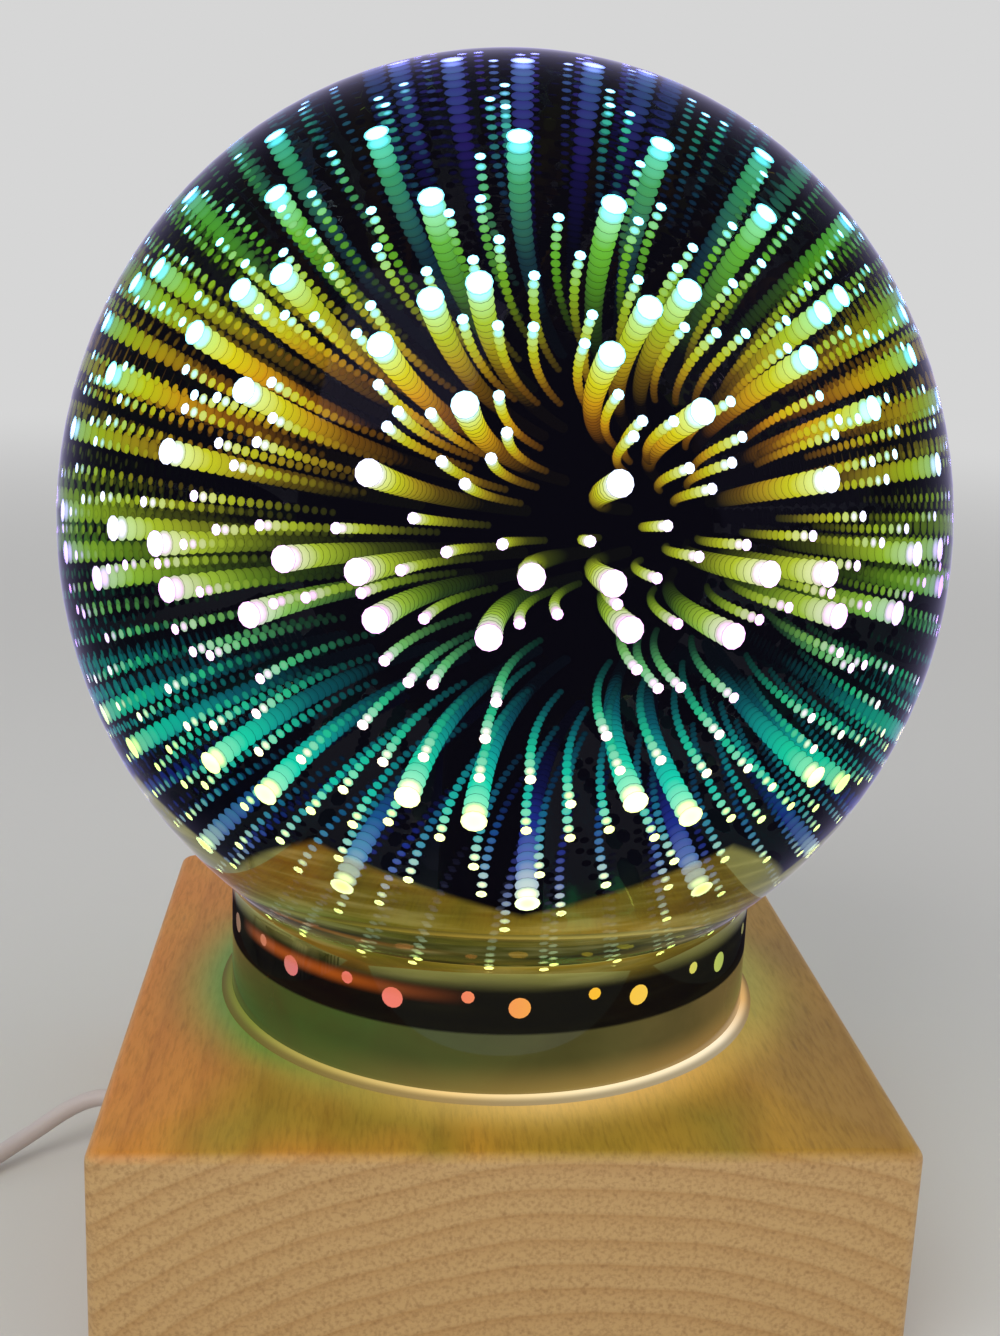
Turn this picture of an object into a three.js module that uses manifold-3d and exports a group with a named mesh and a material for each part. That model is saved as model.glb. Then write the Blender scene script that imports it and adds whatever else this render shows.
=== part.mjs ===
// Crystal ball night light: a mirrored glass globe on a square wooden base, lit from inside its neck,
// with a USB lead that carries an in-line rocker switch.
// Millimetres, +Z up, the front towards -Y. The origin is on the table, under the centre of the base.

import * as THREE from "three";
import { mergeVertices } from "three/addons/utils/BufferGeometryUtils.js";
import Module from "manifold-3d";

const wasm = await Module();
wasm.setup();

// Clearances
const seatGap = 0.3; // between pieces that rest on or in each other
const overrun = 0.8; // how far a cutter runs past what it cuts

// Wooden base
const baseSide = 126;
const blockHeight = 38;
const edgeRound = 1.8;
const cornerRound = 2.6;
const ceilingThickness = 12;
const cavityRadius = 44;
const grooveDepth = 5;
const grooveClearance = 0.5;
const rebateSide = 100;
const rebateCorner = 5;
const footHeight = 2;
const footRadius = 5;
const footInset = 7;
const footDome = 0.5;

// Glass globe
const globeRadius = 75;
const globeHalfHeight = 78;
const globeCentreRise = 83.7; // above the base's top
const sideWall = 1.5;
const crownWall = 2.4;
const neckRadius = 46.6;
const neckFillet = 5;
const gasketThickness = 1;
const footBeadWidth = 1.6; // of the clear silicone round the neck's foot
const footBeadHeight = 1;

// Mirror film with its dots
const filmThickness = 0.3;
const filmRise = 1.2; // its lower edge above the base's top
const dotRadius = 1.75;
const neckDotRise = 14.4; // above the base's top
const dotRepeats = 14;

// Light source
const holeRadius = 21;
const holderClearance = 0.5;
const holderWall = 3;
const flangeRadius = 31;
const flangeThickness = 2.6;
const flangeScrewCircle = 26;
const flangeScrewCount = 3;
const holderRise = 4; // its top above the base's top
const wireHoleRadius = 5;
const ledBoardRadius = 18.5;
const ledBoardThickness = 1.6;
const ledSide = 5;
const ledHeight = 1.6;
const ledCircle = 11;
const ledsOnCircle = 6;
const ledLensRadius = 1.9;
const ledLensDepth = 0.4;

// Bottom cover
const coverThickness = 3;
const coverScrewInset = 7;
const postRadius = 2.8;
const postHeight = 4;
const ribHeight = 2;
const ribWidth = 1.6;

// Screws
const screwRadius = 1.5;
const screwHeadRadius = 2.9;
const screwHeadHeight = 1.7;
const screwLength = 11;
const smallScrewRadius = 1;
const smallScrewHeadRadius = 2;
const smallScrewHeadHeight = 1.4;
const smallScrewLength = 5;
const holderScrewLength = 10;
const switchScrewLength = 9;

// Driver board
const boardLength = 40;
const boardWidth = 24;
const boardThickness = 1.6;
const boardX = 9;
const boardY = -13;
const boardScrewInset = 3.4;
const chipLength = 5;
const chipWidth = 4;
const chipHeight = 1.6;
const capacitorRadius = 2.6;
const capacitorHeight = 7;
const capacitorBead = 0.35;
const capacitorGrooveShares = [0.12, 0.18, 0.24]; // of its height: start, middle and end
const socketLength = 7.5;
const socketWidth = 5.8;
const socketHeight = 6;
const socketWall = 0.8;
const wireRadius = 0.7;
const wireSpacing = 2.5;
const wirePinch = 0.7; // share of the spacing that is left where the wires leave the lead

// Lead
const cordRadius = 1.6;
const cordRise = 9.5; // of its exit, above the table
const cordExitY = 10.1;
const bootLength = 8;
const bootRadius = 4.3;
const bootTipRadius = 2.3;
const bootGroove = 0.5;
const bootFlangeRadius = 5.6;
const bootFlangeThickness = 1.5;
const sleeveRadius = 3.3;
const sleeveLength = 11;
const bendRibs = 3; // on the strain relief, and on the plug's tail
const ribSharesAndDips = [[0.3, 0], [0.5, 1], [0.85, 1], [1, 0]]; // along a rib's pitch, and into the groove
const clampX = -26;
const clampWidth = 6;
const clampThickness = 1.2;
const clampFoot = 8.4;
const clampPadHeight = 1.5;

// Coil of the lead
const turnStep = 3.7;
const layerStep = 3.7;
const coilTurns = 9.5;
const coilMiddleRadius = 17.9;
const coilX = -131.7;
const coilY = -42;
const tieThickness = 0.5;
const tieWidth = 6;

// In-line switch
const switchLength = 52;
const switchWidth = 21;
const switchHeight = 13;
const switchNoseWidth = 9;
const switchNoseHeight = 9.4;
const switchWall = 1.8;
const switchSplit = 5.2;
const switchDistance = 30; // from the coil's centre line to its end
const switchCordRise = 5;
const rockerReach = 8.2; // of its ends from the pivot
const rockerWidth = 8.6;
const rockerEndRise = 3.4; // of its ends above the pivot
const rockerMiddleRise = 1.9;
const rockerDrop = 2.2;
const pivotDepth = 2.5; // below the switch's top
const pivotRadius = 1;
const pivotBossRadius = 3;
const plungerWidth = 3;
const plungerDrop = 5.4;
const contactReach = 5.2;
const contactWidth = 3.6;
const contactThickness = 0.5;
const contactBend = 0.5;
const terminalLength = 8;
const terminalWidth = 4;
const terminalThickness = 0.6;
const terminalHeight = 0.85;
const switchScrewPlace = 17;
const switchBellyShare = 0.45; // of its half length that is straight
const switchPlanShare = 0.8; // where the curve of its sides turns to the nose
const switchTopShare = 0.75; // where the curve of its top turns to the nose
const switchBossRadius = 3;
const rockerTilt = 8; // degrees either side of level

// USB plug
const plugGripLength = 24;
const plugGripWidth = 15.6;
const plugGripHeight = 8.4;
const plugGripRound = 2;
const plugTailLength = 10;
const plugTailRadius = 3.3;
const plugTailTip = 2.2;
const plugTailGroove = 0.45;
const plugShellLength = 18.7;
const plugShellWidth = 12;
const plugShellHeight = 4.5;
const plugShellWall = 0.4;
const plugWindow = 2.2;
const plugWindowPlace = 6;
const plugInsertThickness = 1.7;
const plugContactLength = 8;
const plugContactWidth = 1.1;
const plugContactThickness = 0.3;
const plugContactSpacing = 2.3;
const plugContactCount = 4;
const plugTurnRadius = 14; // of the lead between switch and plug
const plugStart = 45; // its tail's end, along Y

// Facet counts
const globeSegments = 28;
const globeRings = 12;
const filletRings = 3;
const dotSides = 6;
const roundSides = 24;
const boreSides = 48;
const middleSides = 12;
const screwSides = 10;
const smallScrewSides = 8;
const wireSides = 6;
const cordSides = 8;
const coilSides = 6;
const coilStepsPerTurn = 24;
const leadSteps = 12;
const endSteps = 14;
const tailSteps = 10;
const wireSteps = 11;
const turnSteps = 8;

// Heights that the pieces share
const baseTop = footHeight + blockHeight;
const ceiling = baseTop - ceilingThickness;
const coverTop = footHeight + coverThickness;
const globeCentre = baseTop + globeCentreRise;
const grooveFloor = baseTop - grooveDepth;
const rim = grooveFloor + gasketThickness + seatGap;
const holderTop = baseTop + holderRise;
const ledBoardTop = holderTop + seatGap + ledBoardThickness;
const boardBottom = coverTop + postHeight + seatGap;
const boardTop = boardBottom + boardThickness;
const coilRise = tieThickness + seatGap + cordRadius;
const coilOuterRadius = coilMiddleRadius + (turnStep * coilTurns) / 4;
const switchX = coilX - coilOuterRadius;
const switchY = coilY + switchDistance + switchLength / 2;
const pivotRise = switchHeight - pivotDepth;
const plugRise = plugGripHeight / 2;
const plugX = switchX + 2 * plugTurnRadius;

// The dots' places on the globe, in one of its repeats: the angle above the equator in degrees, and
// the share of the repeat at which the dot stands
const dotAnglesAndShares = [
  [71, 0.8],
  [52, 0.8],
  [42, 0.34],
  [32, 0.66],
  [13, 0.27],
  [-2, 0.77],
  [-22, 0.74],
  [-35, 0.02],
];
const neckDotShare = 0.1;

// The free lead from the base to the coil, chosen by hand
const leadRoute = [
  [-71.6, 10.1, 9.5],
  [-73.4, 10, 9.4],
  [-76.2, 9.4, 8.8],
  [-79.7, 7.8, 7.5],
  [-83, 5.5, 6],
  [-86.3, 3.1, 4.6],
  [-89.5, 0.4, 3.4],
  [-93, -3, 2.3],
  [-96.4, -7, 1.7],
  [-99.3, -11.6, 1.6],
  [-101.7, -16.8, 1.6],
  [-103.5, -22.2, 1.7],
  [-104.6, -27.6, 2],
];

const root = new THREE.Group();

// Materials
const paints = {
  wood: [0xc9a06c, 0.6, 0],
  glass: [0x1b2633, 0.08, 0.2],
  mirror: [0x3c4a58, 0.15, 1],
  silicone: [0xe8e6df, 0.7, 0],
  whitePlastic: [0xe9e7e1, 0.45, 0],
  blackPlastic: [0x1d1d1f, 0.5, 0],
  rubber: [0x2a2a2b, 0.85, 0],
  steel: [0xb9bcc0, 0.3, 1],
  brass: [0xc8a24a, 0.3, 1],
  board: [0x1f6b3f, 0.5, 0],
  whiteBoard: [0xf2f2ee, 0.5, 0],
  led: [0xfff4c4, 0.3, 0],
  redWire: [0xb3261e, 0.5, 0],
  blackWire: [0x232323, 0.5, 0],
  cord: [0xd9d3d0, 0.5, 0],
};

function paint(name) {
  const [color, roughness, metalness] = paints[name];
  return new THREE.MeshStandardMaterial({ color, roughness, metalness });
}

function addMesh(name, geometry, paintName, parent = root) {
  const mesh = new THREE.Mesh(geometry, paint(paintName));
  mesh.name = name;
  parent.add(mesh);
  return mesh;
}

// Solids for cutting and joining

function solid(geometry) {
  const bare = geometry.index ? geometry.toNonIndexed() : geometry.clone();
  bare.deleteAttribute("normal");
  bare.deleteAttribute("uv");
  const merged = mergeVertices(bare);
  const vertProperties = merged.attributes.position.array;
  const triVerts = new Uint32Array(merged.index.array);
  return new wasm.Manifold(new wasm.Mesh({ numProp: 3, vertProperties, triVerts }));
}

function geometryOf(body) {
  const { vertProperties, triVerts } = body.getMesh();
  const geometry = new THREE.BufferGeometry();
  geometry.setAttribute("position", new THREE.BufferAttribute(vertProperties, 3));
  geometry.setIndex(new THREE.BufferAttribute(triVerts, 1));
  geometry.computeVertexNormals();
  return geometry;
}

function cutAll(body, cutters) {
  return cutters.reduce((left, cutter) => left.subtract(solid(cutter)), body);
}

function joinAll(body, additions) {
  return additions.reduce((all, addition) => all.add(solid(addition)), body);
}

// Basic forms, each with its axis along Z

function lathe(profile, segments) {
  const points = profile.map(([radius, height]) => new THREE.Vector2(radius, height));
  return new THREE.LatheGeometry(points, segments).rotateX(Math.PI / 2);
}

function rod(radius, low, high, segments = roundSides) {
  return lathe([[0, low], [radius, low], [radius, high], [0, high]], segments);
}

function ring(inner, outer, low, high, segments = roundSides) {
  const corners = [[inner, low], [outer, low], [outer, high], [inner, high], [inner, low]];
  return lathe(corners, segments);
}

function block(length, width, low, high) {
  return new THREE.BoxGeometry(length, width, high - low).translate(0, 0, (low + high) / 2);
}

function roundedOutline(length, width, corner) {
  const [x, y] = [length / 2 - corner, width / 2 - corner];
  const shape = new THREE.Shape();
  shape.absarc(x, y, corner, 0, Math.PI / 2);
  shape.absarc(-x, y, corner, Math.PI / 2, Math.PI);
  shape.absarc(-x, -y, corner, Math.PI, 1.5 * Math.PI);
  shape.absarc(x, -y, corner, 1.5 * Math.PI, 2 * Math.PI);
  return shape;
}

function slab(shape, low, high, curveSegments = 4) {
  const settings = { depth: high - low, bevelEnabled: false, curveSegments };
  return new THREE.ExtrudeGeometry(shape, settings).translate(0, 0, low);
}

function easedSlab(shape, low, high, round, bevelSegments = 2, curveSegments = 3) {
  const settings = {
    depth: high - low - 2 * round,
    bevelThickness: round,
    bevelSize: round,
    bevelOffset: -round,
    bevelSegments,
    curveSegments,
  };
  return new THREE.ExtrudeGeometry(shape, settings).translate(0, 0, low + round);
}

// A form drawn with its height along Z is turned so that Z becomes X, X becomes Y and Y becomes Z.
function alongX(geometry) {
  const [x, y, z] = [new THREE.Vector3(1, 0, 0), new THREE.Vector3(0, 1, 0), new THREE.Vector3(0, 0, 1)];
  return geometry.applyMatrix4(new THREE.Matrix4().makeBasis(y, z, x));
}

// A side view drawn in X and Y is stood up, so that it spans X and Z and is as thick along Y as given.
function sideView(shape, width, curveSegments = 4) {
  return slab(shape, -width / 2, width / 2, curveSegments).rotateX(Math.PI / 2);
}

function tube(points, radius, sides, steps) {
  const path = new THREE.CatmullRomCurve3(points.map((p) => new THREE.Vector3(...p)));
  const section = new THREE.Shape();
  for (let i = 0; i < sides; i++) {
    const angle = (2 * Math.PI * (i + 0.5)) / sides;
    const corner = [radius * Math.cos(angle), radius * Math.sin(angle)];
    if (i === 0) section.moveTo(...corner);
    else section.lineTo(...corner);
  }
  return new THREE.ExtrudeGeometry(section, { steps, extrudePath: path });
}

// Fasteners, with the head's face at Z = 0 and the shank upwards

function countersunkScrew() {
  const profile = [
    [0, 0],
    [screwHeadRadius, 0],
    [screwRadius, screwHeadHeight],
    [screwRadius, screwLength - screwRadius],
    [0, screwLength],
  ];
  return lathe(profile, screwSides);
}

function panScrew(length) {
  const profile = [
    [0, 0],
    [smallScrewHeadRadius, 0],
    [smallScrewHeadRadius, smallScrewHeadHeight],
    [smallScrewRadius, smallScrewHeadHeight],
    [smallScrewRadius, length],
    [0, length],
  ];
  return lathe(profile, smallScrewSides);
}

function countersunkHole(length) {
  const wide = screwHeadRadius + seatGap;
  const narrow = screwRadius + seatGap;
  const profile = [
    [0, -overrun],
    [wide, -overrun],
    [wide, 0],
    [narrow, screwHeadHeight],
    [narrow, length],
    [0, length],
  ];
  return lathe(profile, screwSides);
}

// Places

function corners(reach) {
  return [[-reach, -reach], [reach, -reach], [reach, reach], [-reach, reach]];
}

function placesOnCircle(radius, count, start = 0) {
  return Array.from({ length: count }, (_, i) => {
    const angle = start + (2 * Math.PI * i) / count;
    return [radius * Math.cos(angle), radius * Math.sin(angle)];
  });
}

const coverScrewPlaces = corners(rebateSide / 2 - coverScrewInset);
const holderScrewPlaces = placesOnCircle(flangeScrewCircle, flangeScrewCount, Math.PI / 2);
const boardScrewPlaces = [-1, 1].map((side) => [
  boardX + side * (boardLength / 2 - boardScrewInset),
  boardY + side * (boardWidth / 2 - boardScrewInset),
]);
const clampScrewPlaces = [-1, 1].map((side) => {
  const middle = (cordRadius + seatGap + clampThickness + clampFoot) / 2;
  return [clampX, cordExitY + side * middle];
});
const clampCordRise = coverTop + clampPadHeight + seatGap + cordRadius;

// Wooden base

function baseBlock() {
  const outline = roundedOutline(baseSide, baseSide, cornerRound);
  const body = solid(easedSlab(outline, footHeight, baseTop, edgeRound));
  const rebate = roundedOutline(rebateSide, rebateSide, rebateCorner);
  const rebateTop = coverTop + seatGap;
  const neckInside = neckRadius - sideWall - grooveClearance;
  const boreLength = baseSide / 2;
  const cutters = [
    slab(rebate, footHeight - overrun, rebateTop),
    rod(cavityRadius, footHeight, ceiling, boreSides),
    rod(holeRadius, footHeight, baseTop + overrun, boreSides),
    ring(neckInside, neckRadius + grooveClearance, grooveFloor, baseTop + overrun, globeSegments),
    alongX(rod(sleeveRadius + seatGap, -boreLength - overrun, 0)).translate(0, cordExitY, cordRise),
  ];
  const coverScrewTop = footHeight + screwLength + seatGap;
  for (const [x, y] of coverScrewPlaces) {
    cutters.push(rod(screwRadius + seatGap, footHeight, coverScrewTop, screwSides).translate(x, y, 0));
  }
  const holderScrewBottom = ceiling - seatGap - flangeThickness - smallScrewHeadHeight;
  const holderScrewTop = holderScrewBottom + holderScrewLength + seatGap;
  for (const [x, y] of holderScrewPlaces) {
    const pilot = rod(smallScrewRadius + seatGap, footHeight, holderScrewTop, screwSides);
    cutters.push(pilot.translate(x, y, 0));
  }
  return geometryOf(cutAll(body, cutters));
}

function rubberFoot() {
  const profile = [
    [0, 0],
    [footRadius - footDome, 0],
    [footRadius, footDome],
    [footRadius, footHeight],
    [0, footHeight],
  ];
  return lathe(profile, middleSides);
}

function bottomCover() {
  const side = rebateSide - 2 * seatGap;
  const outline = roundedOutline(side, side, rebateCorner - seatGap);
  const padLength = clampWidth + 2 * ribWidth;
  const additions = [
    block(padLength, 2 * clampFoot, coverTop - overrun, coverTop + clampPadHeight)
      .translate(clampX, cordExitY, 0),
  ];
  for (const [x, y] of boardScrewPlaces) {
    const post = rod(postRadius, coverTop - overrun, coverTop + postHeight, middleSides);
    additions.push(post.translate(x, y, 0));
  }
  const ribReach = cavityRadius - 2 * holderWall;
  for (const y of [-ribReach * 0.8, ribReach * 0.8]) {
    const rib = block(ribReach, ribWidth, coverTop - overrun, coverTop + ribHeight);
    additions.push(rib.translate(0, y, 0));
  }
  const cutters = coverScrewPlaces.map(([x, y]) =>
    countersunkHole(coverThickness + overrun).translate(x, y, footHeight),
  );
  const pilot = smallScrewRadius + seatGap;
  for (const [x, y] of [...boardScrewPlaces, ...clampScrewPlaces]) {
    const hole = rod(pilot, footHeight + coverThickness / 3, boardTop, smallScrewSides);
    cutters.push(hole.translate(x, y, 0));
  }
  const body = joinAll(solid(slab(outline, footHeight, coverTop)), additions);
  return geometryOf(cutAll(body, cutters));
}

// Glass globe and mirror film

// Half of a bulb's outline, from its neck's foot to its crown: a straight neck, a fillet that meets
// the ellipse smoothly, and the ellipse.
function bulbOutline(radius, halfHeight, neck, fillet, low) {
  const middle = (angle) => {
    const normal = [halfHeight * Math.cos(angle), radius * Math.sin(angle)];
    const length = Math.hypot(...normal);
    return [
      radius * Math.cos(angle) + (fillet * normal[0]) / length,
      halfHeight * Math.sin(angle) + (fillet * normal[1]) / length,
    ];
  };
  let [below, above] = [-Math.PI / 2, 0];
  for (let i = 0; i < 40; i++) {
    const angle = (below + above) / 2;
    if (middle(angle)[0] < neck + fillet) below = angle;
    else above = angle;
  }
  const [x, z] = middle(below);
  const start = Math.atan2(halfHeight * Math.sin(below) - z, radius * Math.cos(below) - x);
  const points = [[neck, low]];
  for (let i = 0; i < filletRings; i++) {
    const angle = Math.PI + ((start - Math.PI) * i) / filletRings;
    points.push([x + fillet * Math.cos(angle), globeCentre + z + fillet * Math.sin(angle)]);
  }
  for (let i = 0; i <= globeRings; i++) {
    const angle = below + ((Math.PI / 2 - below) * i) / globeRings;
    const across = i === globeRings ? 0 : radius * Math.cos(angle);
    points.push([across, globeCentre + halfHeight * Math.sin(angle)]);
  }
  return points;
}

// The bulb's outline, set in by a wall at its sides and another at its crown
function insetOutline(side, crown, low) {
  return bulbOutline(globeRadius - side, globeHalfHeight - crown, neckRadius - side, neckFillet + side, low);
}

function glassGlobe() {
  const outside = insetOutline(0, 0, rim);
  const inside = insetOutline(sideWall, crownWall, rim);
  return lathe([...inside.reverse(), ...outside], globeSegments);
}

// A dot's hole: a short prism that stands out from the globe's axis point, at an angle above the
// equator and an angle round the axis
function dotCutter(radius, height, tilt, turn) {
  const reach = filmThickness + 2 * overrun;
  const cutter = rod(dotRadius, -reach, reach, dotSides);
  cutter.rotateX(Math.PI / 2 - tilt).translate(0, -radius, height);
  return cutter.rotateZ(turn);
}

function dotCutters() {
  const cutters = [];
  const repeat = (2 * Math.PI) / dotRepeats;
  const half = sideWall + seatGap + filmThickness / 2;
  for (let i = 0; i < dotRepeats; i++) {
    for (const [angle, share] of dotAnglesAndShares) {
      const tilt = THREE.MathUtils.degToRad(angle);
      const radius = (globeRadius - half) * Math.cos(tilt);
      const height = globeCentre + (globeHalfHeight - crownWall) * Math.sin(tilt);
      cutters.push(dotCutter(radius, height, tilt, (i + share) * repeat));
    }
    const neckTurn = (i + neckDotShare) * repeat;
    cutters.push(dotCutter(neckRadius - half, baseTop + neckDotRise, 0, neckTurn));
  }
  return cutters;
}

// The inner mirror film, with a round clear dot wherever the light comes out
function mirrorFilm() {
  const outside = sideWall + seatGap;
  const crown = crownWall + seatGap;
  const low = baseTop + filmRise;
  const outer = insetOutline(outside, crown, low);
  const inner = insetOutline(outside + filmThickness, crown + filmThickness, low);
  const film = solid(lathe([...inner.reverse(), ...outer], globeSegments));
  const [first, ...rest] = dotCutters();
  return geometryOf(film.subtract(joinAll(solid(first), rest)));
}

function seatGasket() {
  const inner = neckRadius - sideWall;
  return ring(inner, neckRadius, grooveFloor, grooveFloor + gasketThickness, globeSegments);
}

// The bead of clear silicone that seals the neck's foot to the wood and glows with the light inside
function footBead() {
  const inner = neckRadius + seatGap;
  const outer = inner + footBeadWidth;
  const profile = [
    [inner, baseTop],
    [outer, baseTop],
    [outer, baseTop + footBeadHeight / 3],
    [inner + footBeadWidth / 3, baseTop + footBeadHeight],
    [inner, baseTop + footBeadHeight],
    [inner, baseTop],
  ];
  return lathe(profile, globeSegments);
}

// Light source

function ledHolder() {
  const outer = holeRadius - holderClearance;
  const inner = outer - holderWall;
  const flangeTop = ceiling - seatGap;
  const flangeBottom = flangeTop - flangeThickness;
  const profile = [
    [inner, flangeBottom],
    [flangeRadius, flangeBottom],
    [flangeRadius, flangeTop],
    [outer, flangeTop],
    [outer, holderTop],
    [wireHoleRadius, holderTop],
    [wireHoleRadius, holderTop - holderWall],
    [inner, holderTop - holderWall],
    [inner, flangeBottom],
  ];
  const cutters = holderScrewPlaces.map(([x, y]) =>
    rod(smallScrewRadius + seatGap, flangeBottom - overrun, flangeTop + overrun, screwSides)
      .translate(x, y, 0),
  );
  return geometryOf(cutAll(solid(lathe(profile, roundSides)), cutters));
}

function ledPackage() {
  const body = solid(block(ledSide, ledSide, 0, ledHeight));
  const lens = rod(ledLensRadius, ledHeight - ledLensDepth, ledHeight + overrun, smallScrewSides);
  return geometryOf(body.subtract(solid(lens)));
}

function addLightSource() {
  addMesh("led_holder", ledHolder(), "whitePlastic");
  const screwHead = ceiling - seatGap - flangeThickness - smallScrewHeadHeight - seatGap;
  holderScrewPlaces.forEach(([x, y], i) => {
    addMesh(`holder_screw_${i + 1}`, panScrew(holderScrewLength).translate(x, y, screwHead), "steel");
  });
  addMesh("led_board", rod(ledBoardRadius, holderTop + seatGap, ledBoardTop), "whiteBoard");
  const places = [[0, 0], ...placesOnCircle(ledCircle, ledsOnCircle)];
  places.forEach(([x, y], i) => {
    addMesh(`led_${i + 1}`, ledPackage().translate(x, y, ledBoardTop + seatGap), "led");
  });
}

// Driver board and the wires inside the base

function driverBoard() {
  const body = solid(slab(roundedOutline(boardLength, boardWidth, ribWidth), boardBottom, boardTop));
  const cutters = boardScrewPlaces.map(([x, y]) =>
    rod(smallScrewRadius + seatGap, boardBottom - overrun, boardTop + overrun, smallScrewSides)
      .translate(x - boardX, y - boardY, 0),
  );
  return geometryOf(cutAll(body, cutters)).translate(boardX, boardY, 0);
}

function capacitor() {
  const groove = capacitorRadius - capacitorBead;
  const [start, middle, end] = capacitorGrooveShares;
  const profile = [
    [0, 0],
    [capacitorRadius, 0],
    [capacitorRadius, capacitorHeight * start],
    [groove, capacitorHeight * middle],
    [capacitorRadius, capacitorHeight * end],
    [capacitorRadius, capacitorHeight - capacitorBead],
    [groove, capacitorHeight],
    [0, capacitorHeight],
  ];
  return lathe(profile, middleSides);
}

function wireSocket() {
  const body = solid(block(socketLength, socketWidth, 0, socketHeight));
  const inside = block(
    socketLength - 2 * socketWall,
    socketWidth - 2 * socketWall,
    socketHeight / 2,
    socketHeight + overrun,
  );
  return geometryOf(body.subtract(solid(inside)));
}

const socketX = boardX - boardLength / 2 + 2 * socketLength;
const socketY = boardY + boardWidth / 2 - socketWidth;
const solderX = boardX - boardLength / 2 + socketWidth;
const solderY = boardY - socketWall;

function addDriver() {
  const onBoard = boardTop + seatGap;
  addMesh("driver_board", driverBoard(), "board");
  const chip = block(chipLength, chipWidth, 0, chipHeight);
  addMesh("driver_chip", chip.translate(boardX, boardY, onBoard), "blackPlastic");
  const capacitorX = boardX + boardLength / 2 - 2 * capacitorRadius;
  const capacitorY = boardY - boardWidth / 2 + 2 * capacitorRadius;
  addMesh("driver_capacitor", capacitor().translate(capacitorX, capacitorY, onBoard), "blackPlastic");
  addMesh("wire_socket", wireSocket().translate(socketX, socketY, onBoard), "whitePlastic");
  boardScrewPlaces.forEach(([x, y], i) => {
    const screw = panScrew(smallScrewLength).rotateX(Math.PI);
    const headTop = boardTop + seatGap + smallScrewHeadHeight;
    addMesh(`board_screw_${i + 1}`, screw.translate(x, y, headTop), "steel");
  });
}

function addWires() {
  const socketFloor = boardTop + seatGap + socketHeight / 2 + seatGap;
  const boardUnderside = holderTop;
  const names = [["red", -1], ["black", 1]];
  for (const [colour, side] of names) {
    const aside = (side * wireSpacing) / 2;
    const ledRoute = [
      [socketX + aside, socketY, socketFloor],
      [socketX + aside, socketY, socketFloor + socketHeight],
      [socketX / 2 + aside, socketY / 2, ceiling],
      [aside, 0, (ceiling + holderTop) / 2],
      [aside, 0, boardUnderside],
    ];
    addMesh(`led_wire_${colour}`, tube(ledRoute, wireRadius, wireSides, wireSteps), `${colour}Wire`);
    const tailEnd = clampX + 2 * clampWidth + seatGap;
    const solder = boardTop + seatGap + wireRadius;
    const supplyRoute = [
      [tailEnd, cordExitY + aside * wirePinch, clampCordRise],
      [tailEnd + wireRadius, cordExitY + aside * wirePinch, clampCordRise],
      [tailEnd + clampWidth / 2 + aside, cordExitY + aside - wireSpacing, solder + wireRadius],
      [solderX - clampWidth / 2 + aside, solderY + 2 * clampWidth, solder + wireRadius],
      [solderX + aside, solderY + wireSpacing, solder],
      [solderX + aside, solderY, solder],
    ];
    addMesh(`supply_wire_${colour}`, tube(supplyRoute, wireRadius, wireSides, wireSteps), `${colour}Wire`);
  }
}

// Where the lead enters the base

// A tapering outline with ribs, so that it bends evenly, from its tip to its root
function ribbedOutline(tipRadius, rootRadius, groove, tip, root) {
  const profile = [[0, tip], [tipRadius, tip]];
  for (let i = 0; i < bendRibs; i++) {
    for (const [share, dip] of ribSharesAndDips) {
      const along = (i + share) / bendRibs;
      const radius = tipRadius + (rootRadius - tipRadius) * along - dip * groove;
      profile.push([radius, tip + (root - tip) * along]);
    }
  }
  return profile;
}

function strainRelief() {
  const face = -baseSide / 2 - seatGap;
  const start = face - bootFlangeThickness;
  const profile = ribbedOutline(bootTipRadius, bootRadius, bootGroove, face - bootLength, start);
  profile.push([bootFlangeRadius, start], [bootFlangeRadius, face], [sleeveRadius, face]);
  profile.push([sleeveRadius, face + sleeveLength], [0, face + sleeveLength]);
  return alongX(lathe(profile, middleSides)).translate(0, cordExitY, cordRise);
}

function cordClamp() {
  const inner = cordRadius + seatGap;
  const outer = inner + clampThickness;
  const arch = cordRadius + seatGap;
  const shape = new THREE.Shape();
  shape.moveTo(-clampFoot, 0);
  shape.lineTo(-inner, 0);
  shape.lineTo(-inner, arch);
  shape.absarc(0, arch, inner, Math.PI, 0, true);
  shape.lineTo(inner, 0);
  shape.lineTo(clampFoot, 0);
  shape.lineTo(clampFoot, clampThickness);
  shape.lineTo(outer, clampThickness);
  shape.absarc(0, arch, outer, 0, Math.PI);
  shape.lineTo(-outer, clampThickness);
  shape.lineTo(-clampFoot, clampThickness);
  const low = coverTop + clampPadHeight;
  const strap = alongX(slab(shape, -clampWidth / 2, clampWidth / 2)).translate(clampX, cordExitY, low);
  const cutters = clampScrewPlaces.map(([x, y]) =>
    rod(smallScrewRadius + seatGap, coverTop, low + clampThickness + overrun, smallScrewSides)
      .translate(x, y, 0),
  );
  return geometryOf(cutAll(solid(strap), cutters));
}

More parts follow.
